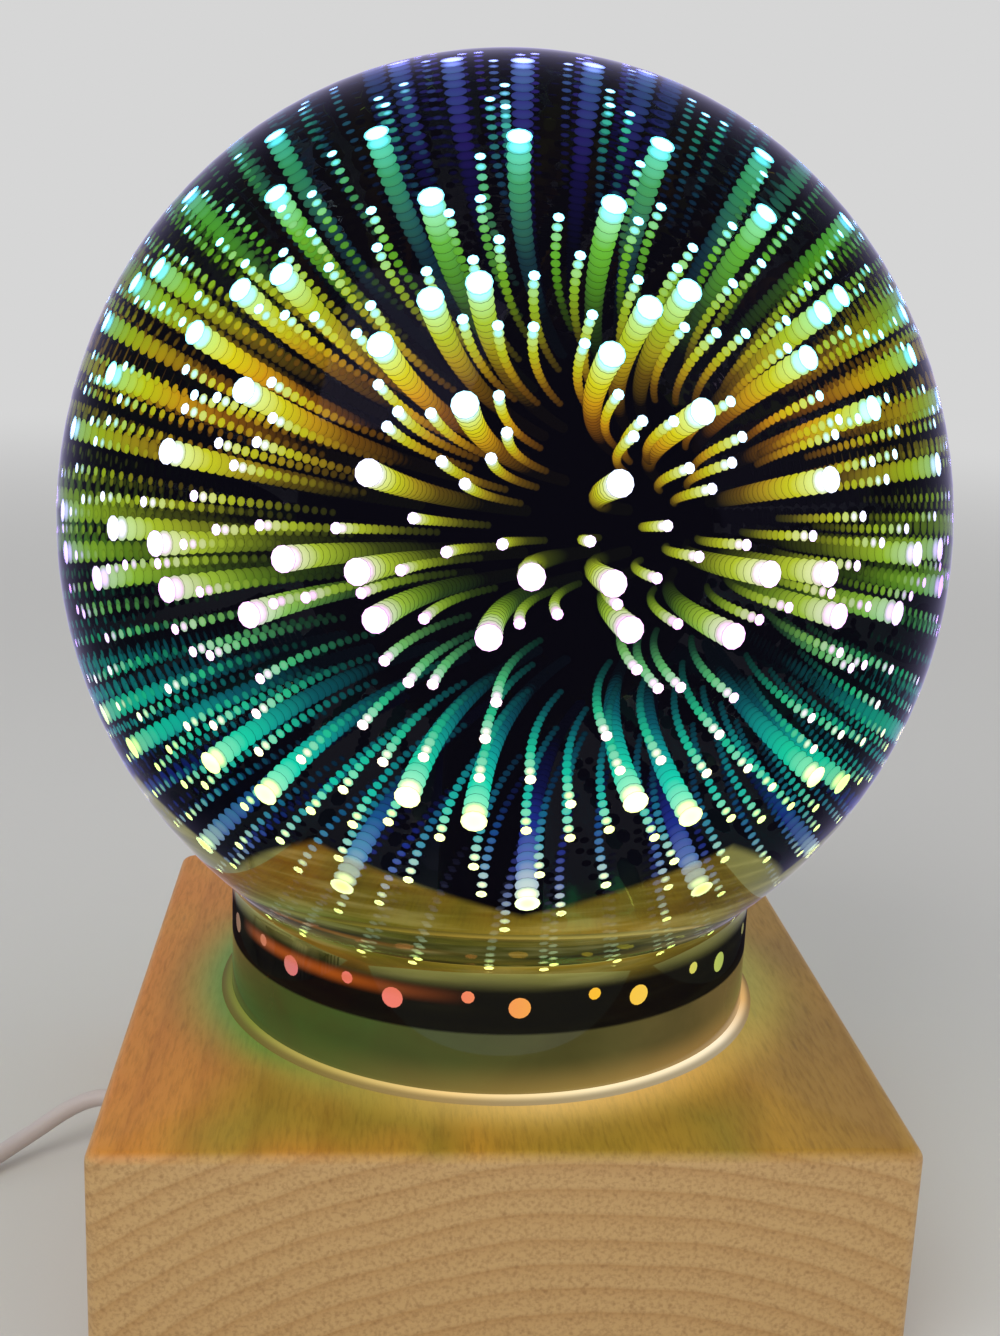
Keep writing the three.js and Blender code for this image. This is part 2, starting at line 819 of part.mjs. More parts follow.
function addCordEntry() {
  addMesh("cord_strain_relief", strainRelief(), "cord");
  const sleeveEnd = -baseSide / 2 - seatGap + sleeveLength;
  const tail = [
    [sleeveEnd + seatGap, cordExitY, cordRise],
    [sleeveEnd + cordRadius * 2, cordExitY, cordRise],
    [-cavityRadius + cordRadius, cordExitY, (cordRise * 2 + clampCordRise) / 3],
    [clampX - clampWidth, cordExitY, clampCordRise],
    [clampX, cordExitY, clampCordRise],
    [clampX + clampWidth, cordExitY, clampCordRise],
    [clampX + 2 * clampWidth, cordExitY, clampCordRise],
  ];
  addMesh("cord_tail", tube(tail, cordRadius, cordSides, tailSteps), "cord");
  addMesh("cord_clamp", cordClamp(), "whitePlastic");
  clampScrewPlaces.forEach(([x, y], i) => {
    const screw = panScrew(smallScrewLength).rotateX(Math.PI);
    const headTop = coverTop + clampPadHeight + clampThickness + seatGap + smallScrewHeadHeight;
    addMesh(`clamp_screw_${i + 1}`, screw.translate(x, y, headTop), "steel");
  });
}

// The lead outside the base

function smoothStep(share) {
  const s = Math.min(1, Math.max(0, share));
  return s * s * (3 - 2 * s);
}

// The coil's centre line: in along the lower layer, up a layer in the half turn where the spiral
// reverses, and out again along the upper one.
function coilPoint(turn) {
  const fromReversal = turn - coilTurns / 2;
  const inner = coilOuterRadius - (turnStep * coilTurns) / 2;
  const radius = inner + turnStep * Math.abs(fromReversal);
  const height = coilRise + layerStep * smoothStep(0.5 + fromReversal * 2);
  const angle = -2 * Math.PI * turn;
  return [coilX + radius * Math.cos(angle), coilY + radius * Math.sin(angle), height];
}

function coilRoute() {
  const [startX, startY, startZ] = coilPoint(0);
  const [endX, endY, endZ] = coilPoint(coilTurns);
  const straight = 2 * cordRadius;
  const steps = Math.round(coilTurns * coilStepsPerTurn);
  const route = [[startX, startY + 2 * straight, startZ], [startX, startY + straight, startZ]];
  for (let i = 0; i <= steps; i++) route.push(coilPoint((i * coilTurns) / steps));
  const stop = coilY + switchDistance - seatGap;
  route.push([endX, endY + 2 * straight, endZ]);
  route.push([endX, (endY + stop) / 2, (endZ + switchCordRise) / 2 - cordRadius]);
  route.push([endX, stop - 2 * straight, switchCordRise - cordRadius / 4]);
  route.push([endX, stop - straight, switchCordRise]);
  route.push([endX, stop, switchCordRise]);
  return route;
}

// The least gap between the coil's own turns, measured on points of its centre line
function leastGap(route, samplesPerStep = 3) {
  const path = new THREE.CatmullRomCurve3(route.map((p) => new THREE.Vector3(...p)));
  const points = path.getSpacedPoints(route.length * samplesPerStep);
  const apart = Math.round((coilStepsPerTurn * samplesPerStep) / 4);
  let least = Infinity;
  points.forEach((a, i) => {
    for (let j = i + apart; j < points.length; j++) least = Math.min(least, a.distanceTo(points[j]));
  });
  return least - 2 * cordRadius;
}

function cordTie() {
  const inner = coilOuterRadius - (turnStep * (coilTurns - 0.5)) / 2;
  const spread = (coilOuterRadius - inner) / 2 + cordRadius + seatGap;
  const high = coilRise + layerStep + cordRadius + seatGap;
  const width = 2 * (spread + tieThickness);
  const band = roundedOutline(width, high + tieThickness, 2 * tieThickness);
  band.holes.push(roundedOutline(2 * spread, high - tieThickness, tieThickness));
  const middle = (high + tieThickness) / 2;
  const strap = slab(band, -tieWidth / 2, tieWidth / 2, 2).translate(0, middle, 0);
  return alongX(strap).translate(coilX, coilY - (coilOuterRadius + inner) / 2, 0);
}

function addLead() {
  const [endX, endY, endZ] = coilPoint(0);
  const straight = 2 * cordRadius;
  const meet = endY + 2 * straight + seatGap;
  const lead = [...leadRoute, [endX, meet + straight, endZ], [endX, meet, endZ]];
  addMesh("cord_lead", tube(lead, cordRadius, cordSides, leadSteps), "cord");
  const route = coilRoute();
  addMesh("cord_coil", tube(route, cordRadius, coilSides, route.length - 1), "cord");
  console.log(`least gap in the coil: ${leastGap(route).toFixed(2)} mm`);
  addMesh("cord_tie", cordTie(), "blackPlastic");
  const [x, start] = [switchX, switchY + switchLength / 2 + seatGap];
  const bend = [];
  const turnY = plugStart + straight;
  for (let i = 0; i <= turnSteps; i++) {
    const angle = Math.PI * (1 - i / turnSteps);
    const rise = switchCordRise + (plugRise - switchCordRise) * (i / turnSteps);
    const sag = (switchCordRise - 1.5 * cordRadius) * Math.sin(angle);
    bend.push([
      x + plugTurnRadius * (1 + Math.cos(angle)),
      turnY + plugTurnRadius * Math.sin(angle),
      rise - sag,
    ]);
  }
  const end = [[x, start, switchCordRise], ...bend, [plugX, plugStart + seatGap, plugRise]];
  addMesh("cord_end", tube(end, cordRadius, cordSides, endSteps), "cord");
}

// In-line switch, drawn with its lead along X and turned to lie along Y

function switchPlan(inset) {
  const [reach, half] = [switchLength / 2 - inset, switchWidth / 2 - inset];
  const nose = switchNoseWidth / 2 - inset;
  const [shoulder, belly] = [reach * switchPlanShare, reach * switchBellyShare];
  const shape = new THREE.Shape();
  shape.moveTo(-reach, -nose);
  shape.quadraticCurveTo(-shoulder, -half, -belly, -half);
  shape.lineTo(belly, -half);
  shape.quadraticCurveTo(shoulder, -half, reach, -nose);
  shape.lineTo(reach, nose);
  shape.quadraticCurveTo(shoulder, half, belly, half);
  shape.lineTo(-belly, half);
  shape.quadraticCurveTo(-shoulder, half, -reach, nose);
  return shape;
}

function switchSide(inset) {
  const [reach, low, high] = [switchLength / 2 - inset, inset, switchHeight - inset];
  const nose = switchNoseHeight - inset;
  const [shoulder, belly] = [reach * switchTopShare, reach * switchBellyShare];
  const shape = new THREE.Shape();
  shape.moveTo(-reach, low);
  shape.lineTo(reach, low);
  shape.lineTo(reach, nose);
  shape.quadraticCurveTo(shoulder, high, belly, high);
  shape.lineTo(-belly, high);
  shape.quadraticCurveTo(-shoulder, high, -reach, nose);
  return shape;
}

function switchForm(inset) {
  const plan = solid(slab(switchPlan(inset), 0, switchHeight, 4));
  return plan.intersect(solid(sideView(switchSide(inset), 2 * switchWidth, 4)));
}

function halfSpace(low, high) {
  return solid(block(2 * switchLength, 2 * switchWidth, low, high));
}

function acrossRod(radius, reach, sides) {
  return rod(radius, -reach, reach, sides).rotateX(Math.PI / 2);
}

function switchLower() {
  const top = switchSplit - seatGap / 2;
  const hollow = switchForm(switchWall);
  const boss = rod(switchBossRadius, switchWall / 2, top, middleSides).translate(switchScrewPlace, 0, 0);
  const shell = switchForm(0).subtract(halfSpace(top, 2 * switchHeight)).subtract(hollow);
  const recess = rod(smallScrewHeadRadius + seatGap, -overrun, switchWall, middleSides);
  const hole = rod(smallScrewRadius + seatGap, 0, switchHeight, smallScrewSides);
  const screwWay = joinAll(solid(recess), [hole]);
  return geometryOf(shell.add(solid(boss)).subtract(screwWay.translate(switchScrewPlace, 0, 0)));
}

function switchUpper() {
  const bottom = switchSplit + seatGap / 2;
  const hollow = switchForm(switchWall);
  const shell = switchForm(0).subtract(halfSpace(-switchHeight, bottom)).subtract(hollow);
  const bossInner = rockerWidth / 2 + seatGap;
  const bossOuter = switchWidth / 2 - switchWall / 2;
  const additions = [-1, 1].map((side) =>
    block(
      2 * pivotBossRadius,
      bossOuter - bossInner,
      pivotRise - pivotBossRadius,
      switchHeight - switchWall / 2,
    ).translate(0, (side * (bossInner + bossOuter)) / 2, 0),
  );
  additions.push(
    rod(switchBossRadius, bottom, switchHeight - switchWall, middleSides).translate(switchScrewPlace, 0, 0),
  );
  const windowLength = 2 * (rockerReach + 1.3 * seatGap);
  const windowWidth = rockerWidth + 2 * seatGap;
  const cutters = [
    block(windowLength, windowWidth, switchHeight - 1.5 * switchWall, switchHeight + overrun),
    acrossRod(pivotRadius + seatGap, switchWidth / 2 - switchWall, middleSides).translate(0, 0, pivotRise),
    rod(smallScrewRadius + seatGap, 0, switchScrewLength + 2 * seatGap, smallScrewSides)
      .translate(switchScrewPlace, 0, 0),
  ];
  return geometryOf(cutAll(joinAll(shell, additions), cutters));
}

// The rocker about its pivot, level: its ends are arcs round the pivot, so they clear the window at
// any tilt, and its top dips in the middle.
function rocker() {
  const upper = Math.asin(rockerEndRise / rockerReach);
  const lower = Math.asin(rockerDrop / rockerReach);
  const shape = new THREE.Shape();
  shape.absarc(0, 0, rockerReach, -lower, upper);
  shape.quadraticCurveTo(0, 2 * rockerMiddleRise - rockerEndRise, -rockerReach * Math.cos(upper), rockerEndRise);
  shape.absarc(0, 0, rockerReach, Math.PI - upper, Math.PI + lower);
  const body = joinAll(solid(sideView(shape, rockerWidth, 6)), [
    block(plungerWidth, plungerWidth, -plungerDrop, -rockerDrop / 2),
  ]);
  return geometryOf(body.subtract(solid(acrossRod(pivotRadius + seatGap, rockerWidth, middleSides))));
}

function rockerContact() {
  const top = -plungerDrop - seatGap;
  const shape = new THREE.Shape();
  shape.moveTo(-contactReach, top - contactBend - contactThickness);
  shape.lineTo(0, top - contactThickness);
  shape.lineTo(contactReach, top - contactBend - contactThickness);
  shape.lineTo(contactReach, top - contactBend);
  shape.lineTo(0, top);
  shape.lineTo(-contactReach, top - contactBend);
  return sideView(shape, contactWidth);
}

function terminal() {
  const foot = block(terminalLength, terminalWidth, 0, terminalThickness);
  const tab = block(terminalThickness, terminalWidth, terminalThickness / 2, terminalHeight);
  return geometryOf(joinAll(solid(foot), [tab.translate(-terminalLength / 2 + terminalThickness, 0, 0)]));
}

function addSwitch() {
  const group = new THREE.Group();
  group.position.set(switchX, switchY, 0);
  group.rotation.z = Math.PI / 2;
  root.add(group);
  addMesh("switch_lower_shell", switchLower(), "cord", group);
  addMesh("switch_upper_shell", switchUpper(), "cord", group);
  const pinReach = switchWidth / 2 - switchWall - seatGap;
  const pin = acrossRod(pivotRadius, pinReach, middleSides).translate(0, 0, pivotRise);
  addMesh("switch_pivot_pin", pin, "steel", group);
  const tilted = new THREE.Group();
  tilted.position.set(0, 0, pivotRise);
  tilted.rotation.y = THREE.MathUtils.degToRad(rockerTilt);
  group.add(tilted);
  addMesh("switch_rocker", rocker(), "blackPlastic", tilted);
  addMesh("switch_contact", rockerContact(), "brass", tilted);
  const floor = switchWall + seatGap;
  const out = terminal().translate(contactReach + terminalLength / 4, 0, floor);
  const back = terminal().rotateZ(Math.PI).translate(-contactReach - terminalLength / 4, 0, floor);
  addMesh("switch_terminal_out", out, "brass", group);
  addMesh("switch_terminal_in", back, "brass", group);
  const screwHead = switchWall - smallScrewHeadHeight - seatGap;
  const screw = panScrew(switchScrewLength).translate(switchScrewPlace, 0, screwHead);
  addMesh("switch_screw", screw, "steel", group);
}

// USB plug, drawn with its tip along X and turned to point along -Y

function plugBody() {
  const outline = roundedOutline(plugGripLength, plugGripWidth, plugGripRound * 1.4);
  const grip = easedSlab(outline, -plugGripHeight / 2, plugGripHeight / 2, plugGripRound, 2, 3);
  const profile = ribbedOutline(plugTailTip, plugTailRadius, plugTailGroove, -plugTailLength, 0);
  profile.push([plugTailRadius, plugGripRound * 2], [0, plugGripRound * 2]);
  const tail = solid(alongX(lathe(profile, middleSides)));
  return geometryOf(tail.add(solid(grip.translate(plugGripLength / 2, 0, 0))));
}

function plugShell() {
  const outer = roundedOutline(plugShellHeight, plugShellWidth, 2 * plugShellWall);
  const innerHeight = plugShellHeight - 2 * plugShellWall;
  const innerWidth = plugShellWidth - 2 * plugShellWall;
  outer.holes.push(roundedOutline(innerHeight, innerWidth, plugShellWall));
  const sleeve = solid(slab(outer, 0, plugShellLength, 2).rotateY(Math.PI / 2));
  const cutters = [-1, 1].map((side) =>
    block(plugWindow, plugWindow, 0, plugShellHeight)
      .translate(plugWindowPlace, (side * plugShellWidth) / 5, 0),
  );
  return geometryOf(cutAll(sleeve, cutters));
}

function addPlug() {
  const group = new THREE.Group();
  group.position.set(plugX, plugStart - plugTailLength, plugRise);
  group.rotation.z = -Math.PI / 2;
  root.add(group);
  addMesh("plug_body", plugBody(), "cord", group);
  const face = plugGripLength + seatGap;
  addMesh("plug_shell", plugShell().translate(face, 0, 0), "steel", group);
  const inside = plugShellHeight / 2 - plugShellWall - seatGap;
  const insertWidth = plugShellWidth - 2 * (plugShellWall + seatGap);
  const insert = block(plugShellLength - plugShellWall, insertWidth, inside - plugInsertThickness, inside);
  const insertX = face + (plugShellLength - plugShellWall) / 2;
  addMesh("plug_insert", insert.translate(insertX, 0, 0), "whitePlastic", group);
  const contactTop = inside - plugInsertThickness - seatGap;
  for (let i = 0; i < plugContactCount; i++) {
    const contact = block(plugContactLength, plugContactWidth, contactTop - plugContactThickness, contactTop);
    const x = face + plugShellLength - plugContactLength;
    contact.translate(x, (i - (plugContactCount - 1) / 2) * plugContactSpacing, 0);
    addMesh(`plug_contact_${i + 1}`, contact, "brass", group);
  }
}

// Assembly

addMesh("base_block", baseBlock(), "wood");
addMesh("bottom_cover", bottomCover(), "blackPlastic");
coverScrewPlaces.forEach(([x, y], i) => {
  addMesh(`cover_screw_${i + 1}`, countersunkScrew().translate(x, y, footHeight), "steel");
});
corners(baseSide / 2 - footInset).forEach(([x, y], i) => {
  addMesh(`rubber_foot_${i + 1}`, rubberFoot().translate(x, y, 0), "rubber");
});
addMesh("glass_globe", glassGlobe(), "glass");
addMesh("mirror_film", mirrorFilm(), "mirror");
addMesh("seat_gasket", seatGasket(), "silicone");
addMesh("foot_bead", footBead(), "silicone");
addLightSource();
addDriver();
addWires();
addCordEntry();
addLead();
addSwitch();
addPlug();

export default root;
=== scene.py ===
import math
from fnmatch import fnmatch
from functools import partial

import bpy
from mathutils import Matrix, Vector


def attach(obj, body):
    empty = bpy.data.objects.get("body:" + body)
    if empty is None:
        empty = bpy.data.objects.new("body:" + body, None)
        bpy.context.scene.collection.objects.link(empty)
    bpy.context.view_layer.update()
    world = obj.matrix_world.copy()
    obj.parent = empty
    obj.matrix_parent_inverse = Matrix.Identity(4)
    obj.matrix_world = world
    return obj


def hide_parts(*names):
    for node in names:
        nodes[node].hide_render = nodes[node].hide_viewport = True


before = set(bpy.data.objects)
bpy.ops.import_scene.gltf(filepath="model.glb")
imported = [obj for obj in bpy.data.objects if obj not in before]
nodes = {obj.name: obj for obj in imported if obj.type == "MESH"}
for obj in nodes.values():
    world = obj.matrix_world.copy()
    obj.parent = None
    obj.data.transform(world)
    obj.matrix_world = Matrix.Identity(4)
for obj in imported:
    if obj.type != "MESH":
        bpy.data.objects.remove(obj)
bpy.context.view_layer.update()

MM = 0.001

# Sizes, in millimetres until they meet a mesh
BASE_SIDE, BASE_BOTTOM, BASE_TOP = 126, 2, 40
EDGE_ROUND, CORNER_ROUND = 2.0, 2.6
CEILING, CAVITY_RADIUS, HOLE_RADIUS = 28, 44, 21
REBATE_SIDE, REBATE_CORNER, REBATE_TOP = 100, 5, 5.3
GROOVE_INNER, GROOVE_OUTER, GROOVE_FLOOR = 44.6, 47.1, 35
FOOT_RADIUS, FOOT_INSET = 5, 7
GLOBE_RADIUS, GLOBE_HALF_HEIGHT, GLOBE_CENTRE = 75, 78, 123.7
SIDE_WALL, CROWN_WALL = 1.5, 2.4
NECK_RADIUS, NECK_FILLET, NECK_RIM = 46.6, 5, 36.3
BEAD_GAP, BEAD_WIDTH, BEAD_HEIGHT = 0.02, 1.85, 1
SEAT_GAP = 0.3

# The dots' places in one of the globe's fourteen repeats: degrees above the equator, and degrees round
TURNS_OF_DOTS = 14
DOT_DEPTH = 0.5
LARGE_DOTS = [
    (71, 21), (52, 21), (42.5, 9), (32.5, 17), (30.5, 11.5), (25.5, 6.5), (20, 16.5), (13, 7), (4, 24),
    (3.5, 6.5), (-1, 8.5), (-2, 20), (-20, 11.5), (-22.5, 19), (-35, 0.5),
]
SMALL_DOTS = [
    (75, 0.5), (74, 20), (70.5, 11), (62.5, 17), (59, 14.5), (57.5, 18), (48.5, 15), (42.5, 16), (40.5, 1),
    (40.5, 12), (37.5, 19), (36, 3.5), (35, 16), (33.5, 10.5), (33.5, 23.5), (29.5, 4.5), (28.5, 15.5),
    (28, 23.5), (28, 19.5), (26.5, 3.5), (21.5, 7), (21, 20), (19, 9.5), (19, 13), (17.5, 21), (17.5, 8.5),
    (15, 19.5), (14.5, 14.5), (12.5, 17), (9, 12), (7.5, 4), (7, 21), (6, 15.5), (4, 11), (1.5, 7), (0.5, 1),
    (-0.5, 13.5), (-0.5, 23), (-5, 9.5), (-7, 12), (-7, 14.5), (-8.5, 21), (-12, 7), (-12.5, 20), (-15, 13.5),
    (-16, 9), (-17, 25), (-17, 19.5), (-20, 4), (-23.5, 25), (-23.5, 9), (-24.5, 4.5), (-25, 15), (-29, 19),
    (-30, 1.5), (-32, 10.5), (-33.5, 20), (-37, 5.5), (-40.5, 23.5), (-51, 8), (-52, 21.5), (-52.5, 6.5),
    (-54, 21.5),
]

# The lead's route from the base to its coil, and the sizes of the coil, the switch and the plug
CORD_RADIUS = 1.6
LEAD_ROUTE = [
    (-71.6, 10.1, 9.5), (-73.4, 10, 9.4), (-76.2, 9.4, 8.8), (-79.7, 7.8, 7.5), (-83, 5.5, 6),
    (-86.3, 3.1, 4.6), (-89.5, 0.4, 3.4), (-93, -3, 2.3), (-96.4, -7, 1.7), (-99.3, -11.6, 1.6),
    (-101.7, -16.8, 1.6), (-103.5, -22.2, 1.7), (-104.6, -27.6, 2),
]
COIL_X, COIL_Y, COIL_MIDDLE, COIL_RISE = -131.7, -42, 17.9, 2.4
COIL_TURNS, TURN_STEP, LAYER_STEP = 9.5, 3.7, 3.7
COIL_OUTER = COIL_MIDDLE + TURN_STEP * COIL_TURNS / 4
SWITCH_LENGTH, SWITCH_DISTANCE, SWITCH_CORD_RISE = 52, 30, 5
SWITCH_X, SWITCH_Y = COIL_X - COIL_OUTER, COIL_Y + SWITCH_DISTANCE + SWITCH_LENGTH / 2
SWITCH_HALF, SWITCH_HEIGHT, SWITCH_NOSE, SWITCH_NOSE_HEIGHT, SWITCH_SPLIT = 10.5, 13, 4.5, 9.4, 5.2
PIVOT_RISE, ROCKER_REACH, ROCKER_WIDTH, ROCKER_TILT = 10.5, 8.2, 8.6, 8
ROCKER_END, ROCKER_MIDDLE, ROCKER_DROP = 3.4, 1.9, 2.2
PLUG_TURN, PLUG_START, PLUG_RISE = 14, 45, 4.2
PLUG_LENGTH, PLUG_HALF, PLUG_HALF_HEIGHT, PLUG_ROUND, PLUG_TAIL = 24, 7.8, 4.2, 2, 10

# The globe's polish is one value for all its shaders, because an exported material has only one
GLASS_IOR, GLASS_POLISH = 1.5, 0.04

# Colours along a row of mirror images, from the dot at 0 to the last image at 1, for heights on the globe
# from near its foot at -1 to its crown at 1
TRAIL_STOPS = (0.0, 0.05, 0.12, 0.26, 0.45, 0.62, 0.85)
TRAIL_COLOURS = [
    (-0.8, "#FFF06C #FFF48C #E8E4A8 #90907C #404050 #141420 #020206"),
    (-0.57, "#FFF06C #FCF8B0 #D0D0D0 #5C6CAC #18287C #080E3C #010208"),
    (-0.36, "#FFF074 #F0F488 #80E8B4 #10C8A0 #0A9488 #045058 #010608"),
    (-0.18, "#FFB4EC #F4C0E0 #A0DCB4 #2CB878 #147854 #073C2C #010604"),
    (-0.03, "#FF98F4 #F0A4F0 #CCD4A4 #90B034 #587818 #283A0C #060701"),
    (0.15, "#FFD4FF #E8D0F8 #DCE488 #B4BC20 #808018 #40400A #060701"),
    (0.42, "#FFFFFF #88ECFC #D4E868 #D4C810 #C88C0A #7C4A06 #080401"),
    (0.66, "#F0FAFF #70E4FC #98E494 #68B42C #4C8814 #2A440A #040501"),
    (0.82, "#E4F4FF #68DCF8 #4CCCB0 #248C6C #185458 #0A2838 #020608"),
    (0.97, "#D0BCFF #A88CF8 #7458C8 #482E98 #2A1A64 #0E0A34 #010208"),
]


# Node trees and materials

# What several finishes share: a soft step, and a surface that glows and takes no light
SMOOTH = {"interpolation_type": "SMOOTHSTEP"}
UNLIT = {"Base Color": (0, 0, 0, 1), "Roughness": 1.0, "Specular IOR Level": 0.0}


def linear(code):
    """An sRGB hex colour as the linear colour that the shaders take."""
    parts = [int(code[i : i + 2], 16) / 255 for i in (1, 3, 5)]
    return [p / 12.92 if p <= 0.04045 else ((p + 0.055) / 1.055) ** 2.4 for p in parts] + [1.0]


def add_node(tree, kind, links=None, stops=None, **settings):
    """Adds a node with its settings, and gives each input in links a value, a socket, or another node's first
    output in use. A shader node's kind goes without ShaderNode. Inputs whose names repeat go by number: on a
    Map Range 1 and 2 are what it maps from and 3 and 4 what it maps to, and on a Mix 6 and 7 are its colours.
    stops are a colour ramp's, as places from 0 to 1 and sRGB hex colours."""
    node = tree.nodes.new(kind if "Node" in kind else "ShaderNode" + kind)
    for name, value in settings.items():
        setattr(node, name, value)
    for key, value in (links or {}).items():
        if isinstance(value, bpy.types.Node):
            value = next(socket for socket in value.outputs if socket.enabled)
        if isinstance(value, bpy.types.NodeSocket):
            tree.links.new(value, node.inputs[key])
        else:
            node.inputs[key].default_value = value
    if stops:
        points = node.color_ramp.elements
        points.remove(points[1])
        for i, (place, code) in enumerate(stops.items()):
            point = points.new(place) if i else points[0]
            point.position, point.color = place, linear(code)
    return node


def finish(build):
    """Turns a function that adds a finish's nodes into one that makes its material, named for the function or
    by name=. The function returns the material's shader, or the inputs of a Principled one."""

    def made(*values, name=build.__name__):
        material = bpy.data.materials.new(name)
        material.use_nodes = True
        material.node_tree.nodes.clear()
        add = partial(add_node, material.node_tree)
        surface = build(add, *values)
        if isinstance(surface, dict):
            surface = add("BsdfPrincipled", surface)
        add("OutputMaterial", {"Surface": surface})
        return material

    return made


@finish
def moulded(add, code, roughness, grain, depth):
    """Moulded plastic: an even colour, with a fine spark-eroded texture that breaks up its shine. grain and
    depth are in millimetres."""
    at = add("TexCoord").outputs["Object"]
    texture = add("TexNoise", {"Vector": at, "Scale": 1 / (grain * MM)})
    wide = add("TexNoise", {"Vector": at, "Scale": 1 / (9 * MM)})
    dark = [0.86 * c for c in linear(code)[:3]] + [1.0]
    return {
        "Base Color": add("Mix", {"Factor": wide, 6: dark, 7: linear(code)}, data_type="RGBA"),
        "Roughness": add("MapRange", {"Value": texture, 3: roughness - 0.08, 4: roughness + 0.08}),
        "IOR": 1.5,
        "Normal": add("Bump", {"Height": texture, "Distance": depth * MM}),
    }


@finish
def metal(add, code, roughness):
    """Plated sheet or turned metal, with faint marks from its making, 1.2 mm long and 0.1 mm wide."""
    at = add("Mapping", {"Vector": add("TexCoord").outputs["Object"], "Scale": (1, 12, 1)})
    marks = add("TexNoise", {"Vector": at, "Scale": 1 / (1.2 * MM), "Detail": 3.0})
    return {
        "Base Color": linear(code),
        "Metallic": 1.0,
        "Roughness": add("MapRange", {"Value": marks, 3: roughness - 0.06, 4: roughness + 0.1}),
        "Normal": add("Bump", {"Height": marks, "Distance": 0.01 * MM}),
    }


def round_the_axis(add, at):
    """A point's coordinates, its distance from the lamp's upright axis, and its turn round it from 0 to 1."""
    parts = add("SeparateXYZ", {"Vector": at}).outputs
    flat = add("VectorMath", {0: at, 1: (1, 1, 0)}, operation="MULTIPLY")
    far = add("VectorMath", {0: flat}, operation="LENGTH")
    angle = add("Math", {0: parts["Y"], 1: parts["X"]}, operation="ARCTAN2")
    return parts, far, add("MapRange", {"Value": angle, 1: -math.pi, 2: math.pi})


def neck_glow(add, at):
    """The lamp's coloured light on the wood's top, as a colour, a strength and a share: amber on the left,
    green close to the neck on the left, olive on the right, and a warm white pool in front of the neck."""
    parts, far, turn = round_the_axis(add, at)
    on_top = add("MapRange", {"Value": parts["Z"], 1: 38.4 * MM, 2: 39.9 * MM})
    side = add("MapRange", {"Value": parts["X"], 1: -BASE_SIDE / 2 * MM, 2: BASE_SIDE / 2 * MM})
    drift = add("TexNoise", {"Vector": at, "Scale": 1 / (30 * MM), "Detail": 1.0})
    drift = add("Math", {0: drift, 1: 0.7, 2: -0.35}, operation="MULTIPLY_ADD")
    place = add("Math", {0: side, 1: drift}, operation="ADD")
    wide = add(
        "ValToRGB", {"Fac": place},
        {0: "#FFB84A", 0.2: "#FFC452", 0.36: "#C8C442", 0.5: "#F0D048", 0.68: "#B8B834", 0.84: "#DCC23C",
         1: "#C0A834"},
    )
    close = add("MapRange", {"Value": far, 1: 48 * MM, 2: 62 * MM, 3: 1.0, 4: 0.0}, **SMOOTH)
    near = add(
        "ValToRGB", {"Fac": turn},
        {0: "#5E8A3C", 0.1: "#6C9440", 0.19: "#B4A44C", 0.27: "#E8CC7C", 0.36: "#DCB862", 0.45: "#A8A044",
         0.6: "#7A8A3C", 0.8: "#6A8A44", 1: "#5E8A3C"},
    )
    tint = add("Mix", {"Factor": close, 6: wide, 7: near}, data_type="RGBA")
    share = add("MapRange", {"Value": close, 3: 0.9, 4: 0.96})
    share = add("Math", {0: share, 1: on_top}, operation="MULTIPLY")
    glow = add("Math", {0: close, 1: 2.0}, operation="POWER")
    glow = add("MapRange", {"Value": glow, 3: 0.06, 4: 0.5})
    glow = add("Math", {0: glow, 1: on_top}, operation="MULTIPLY")
    return tint, glow, share


